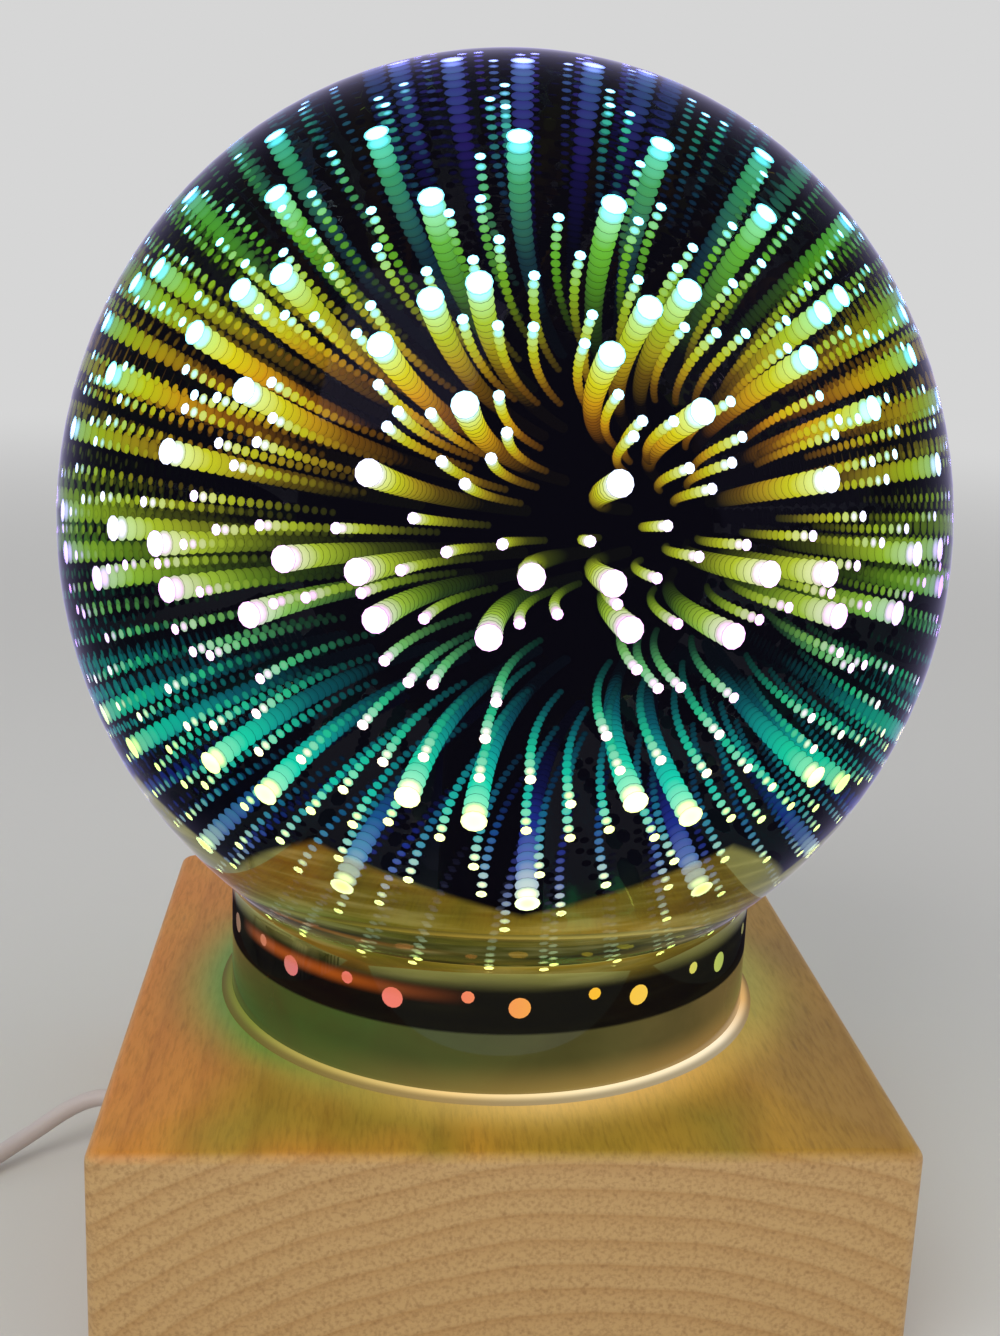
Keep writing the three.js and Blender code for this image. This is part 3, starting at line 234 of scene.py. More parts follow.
@finish
def oiled_beech(add):
    """Sanded beech with a thin oil: pale, satin, with growth rings about 4 mm apart round a heart that lies
    below the block and runs front to back, so the top shows long bands and the front shows arcs. Fine pores
    and short dark rays break them up. Near the neck it takes the colours of the light that leaks out."""
    at = add("TexCoord").outputs["Object"]
    heart = add("Mapping", {"Vector": at, "Location": (-18 * MM, 0, 88 * MM), "Rotation": (0, 0, 0.05)})
    across = add("VectorMath", {0: heart, 1: (1, 0.04, 1)}, operation="MULTIPLY")
    far = add("VectorMath", {0: across}, operation="LENGTH")
    along = add("Mapping", {"Vector": at, "Scale": (1, 0.12, 1)})
    wander = add("TexNoise", {"Vector": along, "Scale": 1 / (45 * MM), "Roughness": 0.4})
    bent = add("Math", {0: wander, 1: 7 * MM, 2: far}, operation="MULTIPLY_ADD")
    rings = add("Math", {0: bent, 1: 4.2 * MM}, operation="DIVIDE")
    wood = add(
        "ValToRGB", {"Fac": add("Math", {0: rings}, operation="FRACT")},
        {0: "#C59D66", 0.12: "#CDA66E", 0.55: "#CAA26A", 0.85: "#C49A62", 0.95: "#BD925A", 1: "#C59D66"},
    )
    pores = add("TexNoise", {"Vector": along, "Scale": 1 / (0.7 * MM), "Detail": 3.0, "Roughness": 0.65})
    share = add("MapRange", {"Value": pores, 1: 0.45, 2: 0.75, 4: 0.55})
    wood = add("Mix", {"Factor": share, 6: wood, 7: linear("#8A5E30")}, data_type="RGBA")
    ray_at = add("Mapping", {"Vector": at, "Scale": (1, 0.16, 1)})
    rays = add("TexVoronoi", {"Vector": ray_at, "Scale": 1 / (2.2 * MM)})
    share = add("MapRange", {"Value": rays, 1: 0.08, 2: 0.2, 3: 0.4, 4: 0.0})
    wood = add("Mix", {"Factor": share, 6: wood, 7: linear("#8E6436")}, data_type="RGBA")
    tint, glow, share = neck_glow(add, at)
    return {
        "Base Color": add(
            "Mix", {"Factor": share, 6: wood, 7: tint}, data_type="RGBA", blend_type="MULTIPLY"
        ),
        "Roughness": add("MapRange", {"Value": pores, 3: 0.4, 4: 0.6}),
        "IOR": 1.45,
        "Normal": add("Bump", {"Height": pores, "Distance": 0.05 * MM}),
        "Emission Color": tint,
        "Emission Strength": glow,
    }


@finish
def woven_nylon_strap(add):
    """Woven nylon: two sets of threads 0.45 mm apart, coarser than the real ones so that they show, soft and
    matt. A wave texture of scale 1 has its bands 0.314 m apart."""
    at = add("TexCoord").outputs["Object"]
    scale = 0.314 / (0.45 * MM)
    warp, weft = [
        add("TexWave", {"Vector": at, "Scale": scale, "Distortion": 0.4}, bands_direction=axis).outputs["Fac"]
        for axis in ("X", "Y")
    ]
    height = add("Math", {0: warp, 1: weft}, operation="MULTIPLY")
    fuzz = add("TexNoise", {"Vector": at, "Scale": 1 / (0.6 * MM)})
    return {
        "Base Color": add("ValToRGB", {"Fac": fuzz}, {0.3: "#1B1B1E", 0.75: "#3A3A3F"}),
        "Roughness": 0.6,
        "Sheen Weight": 0.3,
        "Normal": add("Bump", {"Height": height, "Distance": 0.12 * MM}),
    }


@finish
def soft_pvc(add):
    """Soft PVC of a light lead: a pinkish light grey with a satin skin, faintly wavy along its length from
    being drawn through the die."""
    at = add("TexCoord").outputs["Object"]
    wave = add("TexNoise", {"Vector": at, "Scale": 1 / (2.5 * MM), "Detail": 3.0})
    wide = add("TexNoise", {"Vector": at, "Scale": 1 / (30 * MM), "Detail": 1.0})
    return {
        "Base Color": add("ValToRGB", {"Fac": wide}, {0.3: "#B9ADAD", 0.7: "#CFC4C2"}),
        "Roughness": add("MapRange", {"Value": wave, 3: 0.38, 4: 0.55}),
        "IOR": 1.53,
        "Normal": add("Bump", {"Height": wave, "Distance": 0.03 * MM}),
    }


@finish
def led_phosphor(add):
    """An LED's white ceramic frame with its yellow phosphor window, which glows warm white."""
    rise = add("SeparateXYZ", {"Vector": add("TexCoord").outputs["Object"]}).outputs["Z"]
    down = add("MapRange", {"Value": rise, 1: 47.42 * MM, 2: 47.6 * MM, 3: 1.0, 4: 0.0})
    up = add("MapRange", {"Value": rise, 1: 47.3 * MM, 2: 47.38 * MM})
    window = add("Math", {0: down, 1: up}, operation="MULTIPLY")
    return {
        "Base Color": add(
            "Mix", {"Factor": window, 6: linear("#EFEDE6"), 7: linear("#F2CE4E")}, data_type="RGBA"
        ),
        "Roughness": 0.4,
        "Emission Color": linear("#FFEFC0"),
        "Emission Strength": add("Math", {0: window, 1: 1.2}, operation="MULTIPLY"),
    }


@finish
def half_mirror_glass(add):
    """Blown glass with a half mirror on its outside. It bends what is seen through it, as solid glass does,
    and lets about a tenth of the light through, which is why the inside looks black. At a slant its coats
    pass more green and less light, and at the limb they turn to a lavender mirror with a painted lavender
    glow. Under the belly the mirror is fuller, with a painted reflection of the lamp-lit wood on it, olive
    streaks that glow. The neck's foot is mostly a painted, glowing reflection of the lamp-lit wood, and the
    dark band above it has a painted streak of orange-red light."""
    at = add("TexCoord").outputs["Object"]
    parts, _, turn = round_the_axis(add, at)
    rise = parts["Z"]
    over_neck = add("MapRange", {"Value": rise, 1: 58 * MM, 2: 61.5 * MM, 3: 0.03, 4: 1.0}, **SMOOTH)

    facing = add("LayerWeight", {"Blend": 0.5}).outputs["Facing"]
    tint = add(
        "ValToRGB", {"Fac": facing},
        {0.3: "#555659", 0.5: "#46514F", 0.7: "#344240", 0.88: "#2B3242", 1: "#2C2842"},
    )
    see = add("BsdfRefraction", {"Color": tint, "Roughness": 0.0, "IOR": GLASS_IOR})
    # Towards the limb a lavender metal coat takes over, with a painted lavender glow
    steep = add("Math", {0: facing, 1: 11.0}, operation="POWER")
    steep = add("Math", {0: steep, 1: over_neck}, operation="MULTIPLY")
    rim = add("MapRange", {"Value": steep, 3: 0.004, 4: 0.7})
    # Both coats below shine as metal, and each carries a painted glow of strength 0.8
    shine = {"Metallic": 1.0, "Roughness": GLASS_POLISH, "Emission Strength": 0.8}
    coat = add(
        "BsdfPrincipled", shine | {"Base Color": linear("#BEB8F0"), "Emission Color": linear("#B8ACF4")}
    )
    surface = add("MixShader", {0: rim, 1: see, 2: coat})

    # The painted reflection of the lit wood under the belly, olive streaks that glow, rises to a peak
    # between the middle of each side and each corner
    sizes = add("VectorMath", {0: at}, operation="ABSOLUTE")
    sizes = add("SeparateXYZ", {"Vector": sizes}).outputs
    wide = add("Math", {0: sizes["X"], 1: sizes["Y"]}, operation="MAXIMUM")
    narrow = add("Math", {0: sizes["X"], 1: sizes["Y"]}, operation="MINIMUM")
    slope = add("Math", {0: narrow, 1: wide}, operation="DIVIDE")
    peak = 0.51
    off_peak = add("Math", {0: slope, 1: peak}, operation="SUBTRACT")
    off_peak = add("Math", {0: off_peak}, operation="ABSOLUTE")
    lift = add("MapRange", {"Value": off_peak, 2: peak, 3: 11 * MM, 4: 0.0})
    below = add("Math", {0: rise, 1: lift}, operation="SUBTRACT")
    under = add("MapRange", {"Value": below, 1: 75.4 * MM, 2: 77.2 * MM, 3: 0.42, 4: 0.0}, **SMOOTH)
    under = add("Math", {0: under, 1: over_neck}, operation="MULTIPLY")
    # Olive streaks that glow, over a straw metal shine: the painted reflection of the wood
    layered = add("Mapping", {"Vector": at, "Scale": (0.12, 0.12, 1)})
    streaks = add("TexNoise", {"Vector": layered, "Scale": 1 / (2.4 * MM), "Detail": 3.0})
    light = add("ValToRGB", {"Fac": streaks}, {0.35: "#3E4014", 0.52: "#6E6E26", 0.66: "#A8A45C"})
    wood = add("BsdfPrincipled", shine | {"Base Color": linear("#DCD87C"), "Emission Color": light})
    surface = add("MixShader", {0: under, 1: surface, 2: wood})

    # The neck's foot: a painted, glowing reflection of the lamp-lit wood, warm white just above the wood
    foot = add("MapRange", {"Value": rise, 1: 50.9 * MM, 2: 51.5 * MM, 3: 0.86, 4: 0.0}, **SMOOTH)
    foot_glow_colours = add(
        "ValToRGB", {"Fac": turn},
        {0: "#2E4A26", 0.08: "#285A22", 0.14: "#366428", 0.2: "#4A5E2C", 0.26: "#585C30", 0.33: "#665E34",
         0.42: "#7E683C", 0.5: "#5E5C2C", 0.75: "#3C4624", 1: "#2E4A26"},
    )
    foot_glow_mottle = add("TexNoise", {"Vector": at, "Scale": 1 / (14 * MM), "Detail": 3.0, "Distortion": 0.5})
    deep = add("Mix", {"Factor": foot_glow_mottle, 6: foot_glow_colours, 7: linear("#3A3A1C")}, data_type="RGBA")
    low = add("MapRange", {"Value": rise, 1: 40.5 * MM, 2: 47 * MM, 3: 0.45, 4: 0.0}, **SMOOTH)
    warm = add(
        "ValToRGB", {"Fac": turn},
        {0: "#3E4426", 0.08: "#4E5A2A", 0.15: "#6C6A34", 0.22: "#A08848", 0.3: "#C0A058", 0.4: "#C89A58",
         0.48: "#7A5C34", 0.75: "#4A4428", 1: "#3E4426"},
    )
    lit = add("Mix", {"Factor": low, 6: deep, 7: warm}, data_type="RGBA")
    painted_foot_glow = add(
        "BsdfPrincipled",
        {"Base Color": lit, "Roughness": GLASS_POLISH, "Emission Color": lit, "Emission Strength": 0.35},
    )
    surface = add("MixShader", {0: foot, 1: surface, 2: painted_foot_glow})

    # A painted streak of orange-red light across the dark band, on the front left
    off_streak = add("Math", {0: rise, 1: 57.3 * MM}, operation="SUBTRACT")
    off_streak = add("Math", {0: off_streak}, operation="ABSOLUTE")
    band = add("MapRange", {"Value": off_streak, 2: 1.8 * MM, 3: 1.0, 4: 0.0}, **SMOOTH)
    reach = add(
        "ValToRGB", {"Fac": turn}, {0.06: "#000000", 0.09: "#B8B8B8", 0.15: "#BCBCBC", 0.23: "#000000"}
    )
    band = add("Math", {0: band, 1: reach}, operation="MULTIPLY")
    painted_light_streak = add(
        "BsdfPrincipled",
        {"Base Color": linear("#401408"), "Roughness": GLASS_POLISH, "Emission Color": linear("#E8701C"),
         "Emission Strength": 0.75},
    )
    return add("MixShader", {0: band, 1: surface, 2: painted_light_streak})


@finish
def clear_inner_glass(add):
    """The inner face of the blown glass: clear, with only the faint shine of glass."""
    see = add("BsdfTransparent", {"Color": linear("#FDFDFD")})
    shine = add("BsdfPrincipled", {"Base Color": linear("#C8CCD4"), "Metallic": 1.0, "Roughness": 0.05})
    return add("MixShader", {0: 0.004, 1: see, 2: shine})


@finish
def mirror_painted_black(add):
    """The inner mirror coat where no dot lets light out. It looks black, because it only mirrors the dark, so
    here it is painted shade: near black, with a faint gloss in place of a mirror.
    """
    streaks = add("TexNoise", {"Vector": add("TexCoord").outputs["Object"], "Scale": 1 / (20 * MM)})
    return {
        "Base Color": linear("#050608"),
        "Roughness": add("MapRange", {"Value": streaks, 3: 0.35, 4: 0.55}),
        "Specular IOR Level": 0.2,
    }


@finish
def trail_light(add, end, strength):
    """The light in a dot and in its mirror images, which dies out at end, a share of the globe's radius. Its
    colour goes by the height on the globe and by the image's depth, as the coats' interference colours do:
    white heads, then green and gold above, teal and blue below. A disc's edge takes the colour a little
    further in. The half mirror in front takes nine tenths of the light."""
    at = add("TexCoord").outputs["Object"]
    centred = add("Mapping", {"Vector": at, "Location": (0, 0, -GLOBE_CENTRE * MM)})
    round_off = (1, 1, GLOBE_RADIUS / GLOBE_HALF_HEIGHT)
    on_ball = add("VectorMath", {0: centred, 1: round_off}, operation="MULTIPLY")
    reach = add("VectorMath", {0: on_ball}, operation="LENGTH")
    depth = add("MapRange", {"Value": reach, 1: (GLOBE_RADIUS - 1) * MM, 2: end * GLOBE_RADIUS * MM})
    edge = add("Attribute", attribute_name="edge").outputs["Fac"]
    edge = add("Math", {0: edge, 1: 3.0}, operation="POWER")
    depth = add("Math", {0: edge, 1: 0.06, 2: depth}, operation="MULTIPLY_ADD")
    upward = add("SeparateXYZ", {"Vector": on_ball}).outputs["Z"]
    height = add("Math", {0: upward, 1: reach}, operation="DIVIDE")
    wander = add("TexNoise", {"Vector": at, "Scale": 1 / (45 * MM), "Detail": 0.0})
    wander = add("MapRange", {"Value": wander, 3: -0.09, 4: 0.09})
    height = add("Math", {0: height, 1: wander}, operation="ADD")
    rows = [
        (high, add("ValToRGB", {"Fac": depth}, dict(zip(TRAIL_STOPS, codes.split()))))
        for high, codes in TRAIL_COLOURS
    ]
    colour = rows[0][1]
    for (low, _), (high, upper) in zip(rows, rows[1:]):
        share = add("MapRange", {"Value": height, 1: low, 2: high})
        colour = add("Mix", {"Factor": share, 6: colour, 7: upper}, data_type="RGBA")
    bright = add("MapRange", {"Value": depth, 2: 0.1, 3: 4.2 * strength, 4: strength}, **SMOOTH)
    return UNLIT | {"Emission Color": colour, "Emission Strength": bright}


@finish
def neck_light(add):
    """The dots low on the neck, in the warm end of the coats' colours, dimmer in each image further in."""
    _, far, turn = round_the_axis(add, add("TexCoord").outputs["Object"])
    colour = add(
        "ValToRGB", {"Fac": turn},
        {0: "#F0B070", 0.12: "#F07878", 0.22: "#F47E5E", 0.3: "#FFC030", 0.4: "#F4E070", 0.55: "#F0A060",
         0.7: "#F07878", 0.85: "#FFC030", 1: "#F0B070"},
    )
    inner, outer = (NECK_RADIUS - 5.5) * MM, (NECK_RADIUS - 2) * MM
    bright = add("MapRange", {"Value": far, 1: inner, 2: outer, 3: 3.0, 4: 11.0})
    return UNLIT | {"Emission Color": colour, "Emission Strength": bright}


@finish
def foot_light(add):
    """Clear silicone between glass and wood, lit through from inside: a thin warm white line at the glass,
    brightest at the front on the right, that fades out across the bead."""
    _, far, turn = round_the_axis(add, add("TexCoord").outputs["Object"])
    inner, outer = (NECK_RADIUS + 0.4) * MM, (NECK_RADIUS + 1.7) * MM
    colour = add(
        "ValToRGB", {"Fac": turn},
        {0: "#4A5A22", 0.08: "#6C7A2E", 0.15: "#B8A458", 0.22: "#F0CC88", 0.3: "#FFECC0", 0.4: "#FFF0D0",
         0.46: "#D8A868", 0.52: "#6A5A2C", 0.75: "#3E3C1C", 1: "#4A5A22"},
    )
    # The base colour is painted: the wood seen through the clear bead, in the lamp's olive light
    return {
        "Base Color": linear("#5E4A1C"),
        "Roughness": 0.6,
        "Specular IOR Level": 0.2,
        "Emission Color": colour,
        "Emission Strength": add("MapRange", {"Value": far, 1: inner, 2: outer, 3: 1.0, 4: 0.3}, **SMOOTH),
    }


# Meshes


def smoothed(mesh):
    """Shades the mesh smooth, apart from edges of more than 38 degrees."""
    mesh.shade_smooth()
    mesh.set_sharp_from_angle(angle=math.radians(38))


def shaped(name, skin, *materials, slots=None, smooth=True):
    """A piece from its skin's points in millimetres and its faces, its materials, and each face's slot."""
    verts, faces = skin
    mesh = bpy.data.meshes.new(name)
    mesh.from_pydata([[c * MM for c in v] for v in verts], [], faces)
    for material in materials:
        mesh.materials.append(material)
    if slots:
        mesh.polygons.foreach_set("material_index", slots)
    if smooth:
        smoothed(mesh)
    else:
        mesh.shade_flat()
    mesh.update()
    piece = bpy.data.objects.new(name, mesh)
    bpy.context.scene.collection.objects.link(piece)
    return piece


def stacked(loops, closed=False, inside_out=False):
    """A skin through loops of points, all with the same count. closed joins the last to the first; otherwise
    a loop of one repeated point closes an end. inside_out turns its faces round."""
    verts, rows, faces = [], [], []
    for loop in loops:
        if max(math.dist(p, loop[0]) for p in loop) < 1e-6:
            rows.append([len(verts)] * len(loop))
            verts.append(loop[0])
        else:
            rows.append(range(len(verts), len(verts) + len(loop)))
            verts.extend(loop)
    for low, high in zip(rows, rows[1:] + rows[: int(closed)]):
        for i in range(len(low)):
            j = (i + 1) % len(low)
            corners = [low[i], low[j], high[j], high[i]]
            face = [c for k, c in enumerate(corners) if c != corners[k - 1]]
            if len(face) >= 3:
                faces.append(face[::-1] if inside_out else face)
    return verts, faces


def joined(*skins):
    """One skin out of several."""
    verts, faces = [], []
    for more_verts, more_faces in skins:
        faces += [[i + len(verts) for i in face] for face in more_faces]
        verts += more_verts
    return verts, faces


def boxed(low, high):
    """A box between two corners."""
    verts = [(x, y, z) for z in (low[2], high[2]) for y in (low[1], high[1]) for x in (low[0], high[0])]
    return verts, [(0, 2, 3, 1), (4, 5, 7, 6), (0, 1, 5, 4), (2, 6, 7, 3), (0, 4, 6, 2), (1, 3, 7, 5)]


def turned(outline, count, x=0, y=0, **ends):
    """A skin turned round an upright axis, from the radii and heights of its outline."""
    turns = [2 * math.pi * i / count for i in range(count)]
    circle = [(math.cos(a), math.sin(a)) for a in turns]
    return stacked([[(x + r * cos, y + r * sin, z) for cos, sin in circle] for r, z in outline], **ends)


def rounded_square(side, corner, height, angles):
    """A square with round corners, met by rays from its centre at the given angles."""
    points, middle = [], side / 2 - corner
    for angle in angles:
        x, y = math.cos(angle), math.sin(angle)
        reach = side / 2 / max(abs(x), abs(y))
        if min(abs(reach * x), abs(reach * y)) > middle:
            along = middle * (abs(x) + abs(y))
            reach = along + math.sqrt(max(along * along - 2 * middle * middle + corner * corner, 0))
        points.append((reach * x, reach * y, height))
    return points


def rounded_loop(half_y, half_z, corner, centre, x, steps=6):
    """A rectangle with round corners in an X plane, counterclockwise as seen from +X."""
    points = []
    for q, (sy, sz) in enumerate([(1, 1), (-1, 1), (-1, -1), (1, -1)]):
        for i in range(steps + 1):
            angle = math.pi / 2 * (q + i / steps)
            y = centre[0] + sy * (half_y - corner) + corner * math.cos(angle)
            points.append((x, y, centre[1] + sz * (half_z - corner) + corner * math.sin(angle)))
    return points


def tube(name, points, material, sides=12):
    """The lead's round skin along points in millimetres, its ends closed square."""
    points = [Vector(p) for p in points]
    turns = [2 * math.pi * k / sides for k in range(sides)]
    loops, side = [[tuple(points[0])] * sides], None
    for i, point in enumerate(points):
        ahead = (points[min(i + 1, len(points) - 1)] - points[max(i - 1, 0)]).normalized()
        side = ahead.cross(Vector((0, 0, 1))).normalized() if side is None else side
        side = (side - ahead * side.dot(ahead)).normalized()
        up = side.cross(ahead)
        loops.append([tuple(point + CORD_RADIUS * (math.cos(a) * side + math.sin(a) * up)) for a in turns])
    return shaped(name, stacked(loops + [[tuple(points[-1])] * sides]), material)


def applied(piece):
    """The piece's mesh with its modifiers worked in, which are then removed."""
    mesh = bpy.data.meshes.new_from_object(piece.evaluated_get(bpy.context.evaluated_depsgraph_get()))
    piece.modifiers.clear()
    return mesh


def grown(name, piece, tree, values):
    """The piece as the tree makes it, as a plain mesh. values are for the tree's named inputs."""
    modifier = piece.modifiers.new("grow", "NODES")
    modifier.node_group = tree
    for item in tree.interface.items_tree:
        if item.in_out == "INPUT" and item.name in values:
            modifier[item.identifier] = values[item.name]
    piece.data = applied(piece)
    piece.name = piece.data.name = name
    return piece


def geometry_tree(name, inputs):
    """A Geometry Nodes tree with named inputs, each a kind of socket and its first value."""
    tree = bpy.data.node_groups.new(name, "GeometryNodeTree")
    new_socket = tree.interface.new_socket
    new_socket("Geometry", in_out="INPUT", socket_type="NodeSocketGeometry")
    for label, (kind, value) in inputs.items():
        socket = new_socket(label, in_out="INPUT", socket_type="NodeSocket" + kind)
        if value is not None:
            socket.default_value = value
    new_socket("Geometry", in_out="OUTPUT", socket_type="NodeSocketGeometry")
    add = partial(add_node, tree)
    return tree, add, add("NodeGroupInput").outputs


def ring_tree():
    """Stands copies of a piece in a ring round the Z axis, each turned with its place, with their finish."""
    tree, add, given = geometry_tree(
        "copies_in_a_ring", {"Copies": ("Int", 4), "First Turn": ("Float", 0.0), "Finish": ("Material", None)}
    )
    centre = add("GeometryNodePoints", {"Count": given["Copies"]})
    step = add("Math", {0: 2 * math.pi, 1: given["Copies"]}, operation="DIVIDE")
    index = add("GeometryNodeInputIndex")
    turn = add("Math", {0: index, 1: step, 2: given["First Turn"]}, operation="MULTIPLY_ADD")
    angles = add("CombineXYZ", {"Z": turn})
    copies = add(
        "GeometryNodeInstanceOnPoints", {"Points": centre, "Instance": given["Geometry"], "Rotation": angles}
    )
    real = add("GeometryNodeRealizeInstances", {"Geometry": copies})
    done = add("GeometryNodeSetMaterial", {"Geometry": real, "Material": given["Finish"]})
    add("NodeGroupOutput", {"Geometry": done})
    return tree


def trails_tree():
    """Copies each dot round the globe, and sets its row of mirror images inwards, each a disc that faces
    outwards: a half mirror and a mirror a gap apart give images at radii of 1, 1/(1+g), 1/(1+2g) and so on.
    A row bends with the square of its length, as the glass's own unevenness bends it. Each disc has a back
    painted dark, painted shade that keeps the images on the far side dark, and an attribute edge that goes
    from 0 in its middle to 1 at its edge."""
    tree, add, given = geometry_tree(
        "mirror_images_of_the_dots",
        {"Dot Radius": ("Float", 1.7 * MM), "Images": ("Int", 26), "Mirror Gap": ("Float", 0.0435),
         "Repeats": ("Int", TURNS_OF_DOTS), "Sides": ("Int", 12), "Swirl": ("Float", 0.0003),
         "Light": ("Material", None), "Dark": ("Material", None)},
    )
    centre = (0, 0, GLOBE_CENTRE * MM)
    position = add("GeometryNodeInputPosition")
    outward = add("VectorMath", {0: position, 1: centre}, operation="SUBTRACT")

    copy, by_point = "GeometryNodeDuplicateElements", {"domain": "POINT"}
    dots = add("GeometryNodeMeshToPoints", {"Mesh": given["Geometry"]})
    copies = add(copy, {"Geometry": dots, "Amount": given["Repeats"]}, **by_point)
    step = add("Math", {0: 2 * math.pi, 1: given["Repeats"]}, operation="DIVIDE")
    turn = add("Math", {0: copies.outputs["Duplicate Index"], 1: step}, operation="MULTIPLY")
    turned_round = add("VectorRotate", {"Vector": position, "Axis": (0, 0, 1), "Angle": turn})
    dots = add("GeometryNodeSetPosition", {"Geometry": copies, "Position": turned_round})

    images = add(copy, {"Geometry": dots, "Amount": given["Images"]}, **by_point)
    index = images.outputs["Duplicate Index"]
    gaps = add("Math", {0: index, 1: given["Mirror Gap"], 2: 1.0}, operation="MULTIPLY_ADD")
    share = add("Math", {0: 1.0, 1: gaps}, operation="DIVIDE")
    inward = add("VectorMath", {0: outward, "Scale": share}, operation="SCALE")
    bend = add("Math", {0: index, 1: 2.0}, operation="POWER")
    bend = add("Math", {0: bend, 1: given["Swirl"]}, operation="MULTIPLY")
    bent = add("VectorRotate", {"Vector": inward, "Axis": (0, 0, 1), "Angle": bend})
    place = add("VectorMath", {0: bent, 1: centre}, operation="ADD")
    store = "GeometryNodeStoreNamedAttribute"
    images = add(store, {"Geometry": images, "Name": "image_share", "Value": share})
    images = add("GeometryNodeSetPosition", {"Geometry": images, "Position": place})

    size = {"Vertices": given["Sides"], "Radius": given["Dot Radius"]}
    front = add("GeometryNodeMeshCircle", size, fill_type="TRIANGLE_FAN")
    edge = add("VectorMath", {0: position}, operation="LENGTH")
    edge = add("Math", {0: edge, 1: given["Dot Radius"]}, operation="DIVIDE")
    front = add(store, {"Geometry": front, "Name": "edge", "Value": edge})
    back = add("GeometryNodeMeshCircle", size, fill_type="NGON")
    back = add("GeometryNodeFlipFaces", {"Mesh": back})
    behind = {"Translation": (0, 0, -0.02 * MM), "Scale": (1.03, 1.03, 1)}
    back = add("GeometryNodeTransform", {"Geometry": back} | behind)
    disc = add("GeometryNodeJoinGeometry", {0: back})
    tree.links.new(front.outputs[0], disc.inputs[0])

    facing = add("FunctionNodeAlignRotationToVector", {"Vector": outward}, axis="Z")
    size = add("GeometryNodeInputNamedAttribute", {"Name": "image_share"})
    discs = add(
        "GeometryNodeInstanceOnPoints",
        {"Points": images, "Instance": disc, "Rotation": facing, "Scale": size},
    )
    real = add("GeometryNodeRealizeInstances", {"Geometry": discs})
    # Faces that look inwards, the discs' backs, take the Dark material: painted shade
    normal = add("GeometryNodeInputNormal")
    along = add("VectorMath", {0: normal, 1: outward}, operation="DOT_PRODUCT")
    inner = add("Math", {0: along, 1: 0.0}, operation="LESS_THAN")
    lit = add("GeometryNodeSetMaterial", {"Geometry": real, "Material": given["Light"]})
    both = add("GeometryNodeSetMaterial", {"Geometry": lit, "Selection": inner, "Material": given["Dark"]})
    add("NodeGroupOutput", {"Geometry": both})
    return tree


# Globe and base


def bulb_outline(radius, half_height, neck, fillet, rings=40, fillet_rings=6):
    """Half the globe's outline, from the foot of its neck to its crown, as radii and heights."""

    def fillet_middle(angle):
        across, up = half_height * math.cos(angle), radius * math.sin(angle)
        length = math.hypot(across, up)
        x = radius * math.cos(angle) + fillet * across / length
        return x, half_height * math.sin(angle) + fillet * up / length

    below, above = -math.pi / 2, 0
    for _ in range(40):
        angle = (below + above) / 2
        if fillet_middle(angle)[0] < neck + fillet:
            below = angle
        else:
            above = angle
    x, z = fillet_middle(below)
    start = math.atan2(half_height * math.sin(below) - z, radius * math.cos(below) - x)
    points = [(neck, NECK_RIM), (neck, (NECK_RIM + GLOBE_CENTRE + z) / 2)]
    for i in range(fillet_rings):
        angle = math.pi + (start - math.pi) * i / fillet_rings
        points.append((x + fillet * math.cos(angle), GLOBE_CENTRE + z + fillet * math.sin(angle)))
    for i in range(rings):
        angle = below + (math.pi / 2 - below) * i / rings
        points.append((radius * math.cos(angle), GLOBE_CENTRE + half_height * math.sin(angle)))
    return points + [(0, GLOBE_CENTRE + half_height)]


def glass_globe(count=144):
    """The blown glass with its neck, its outer face a half mirror."""
    outside = bulb_outline(GLOBE_RADIUS, GLOBE_HALF_HEIGHT, NECK_RADIUS, NECK_FILLET)
    inside = bulb_outline(
        GLOBE_RADIUS - SIDE_WALL, GLOBE_HALF_HEIGHT - CROWN_WALL, NECK_RADIUS - SIDE_WALL,
        NECK_FILLET + SIDE_WALL,
    )
    skin = turned(inside[::-1] + outside, count)
    inner_faces = (len(inside) - 1) * count
    slots = [1] * inner_faces + [0] * (len(skin[1]) - inner_faces)
    return shaped("globe_of_glass", skin, half_mirror_glass(), clear_inner_glass(), slots=slots)


def dark_core(material, ball=24, stem=6, steps=28):
    """What the dots' images end against: a black ball in the globe's middle, on a stem from the neck's black
    lining. All of it is painted shade, for the dark depth of the mirrors."""
    liner = NECK_RADIUS - SIDE_WALL - 0.5
    outline = [
        (0, 50), (21.5, 50), (42, 40.8), (liner, 40.8), (liner, 61), (liner - 1.5, 63), (7, 65), (stem, 70),
    ]
    start = -math.acos(stem / ball)
    for i in range(steps):
        angle = start + (math.pi / 2 - start) * i / steps
        outline.append((ball * math.cos(angle), GLOBE_CENTRE + ball * math.sin(angle)))
    return shaped("dark_core", turned(outline + [(0, GLOBE_CENTRE + ball)], 72), material)


def dot_seeds(dots):
    """Loose points, one for each dot of one repeat, just under the glass's outer face, where the first image
    stands."""
    verts = []
    for rise, turn in dots:
        up, angle = math.radians(rise), math.radians(turn - 90)
        reach = (GLOBE_RADIUS - DOT_DEPTH) * math.cos(up)
        height = GLOBE_CENTRE + (GLOBE_HALF_HEIGHT - DOT_DEPTH) * math.sin(up)
        verts.append((reach * math.cos(angle), reach * math.sin(angle), height))
    return shaped("dot_seeds", (verts, []))


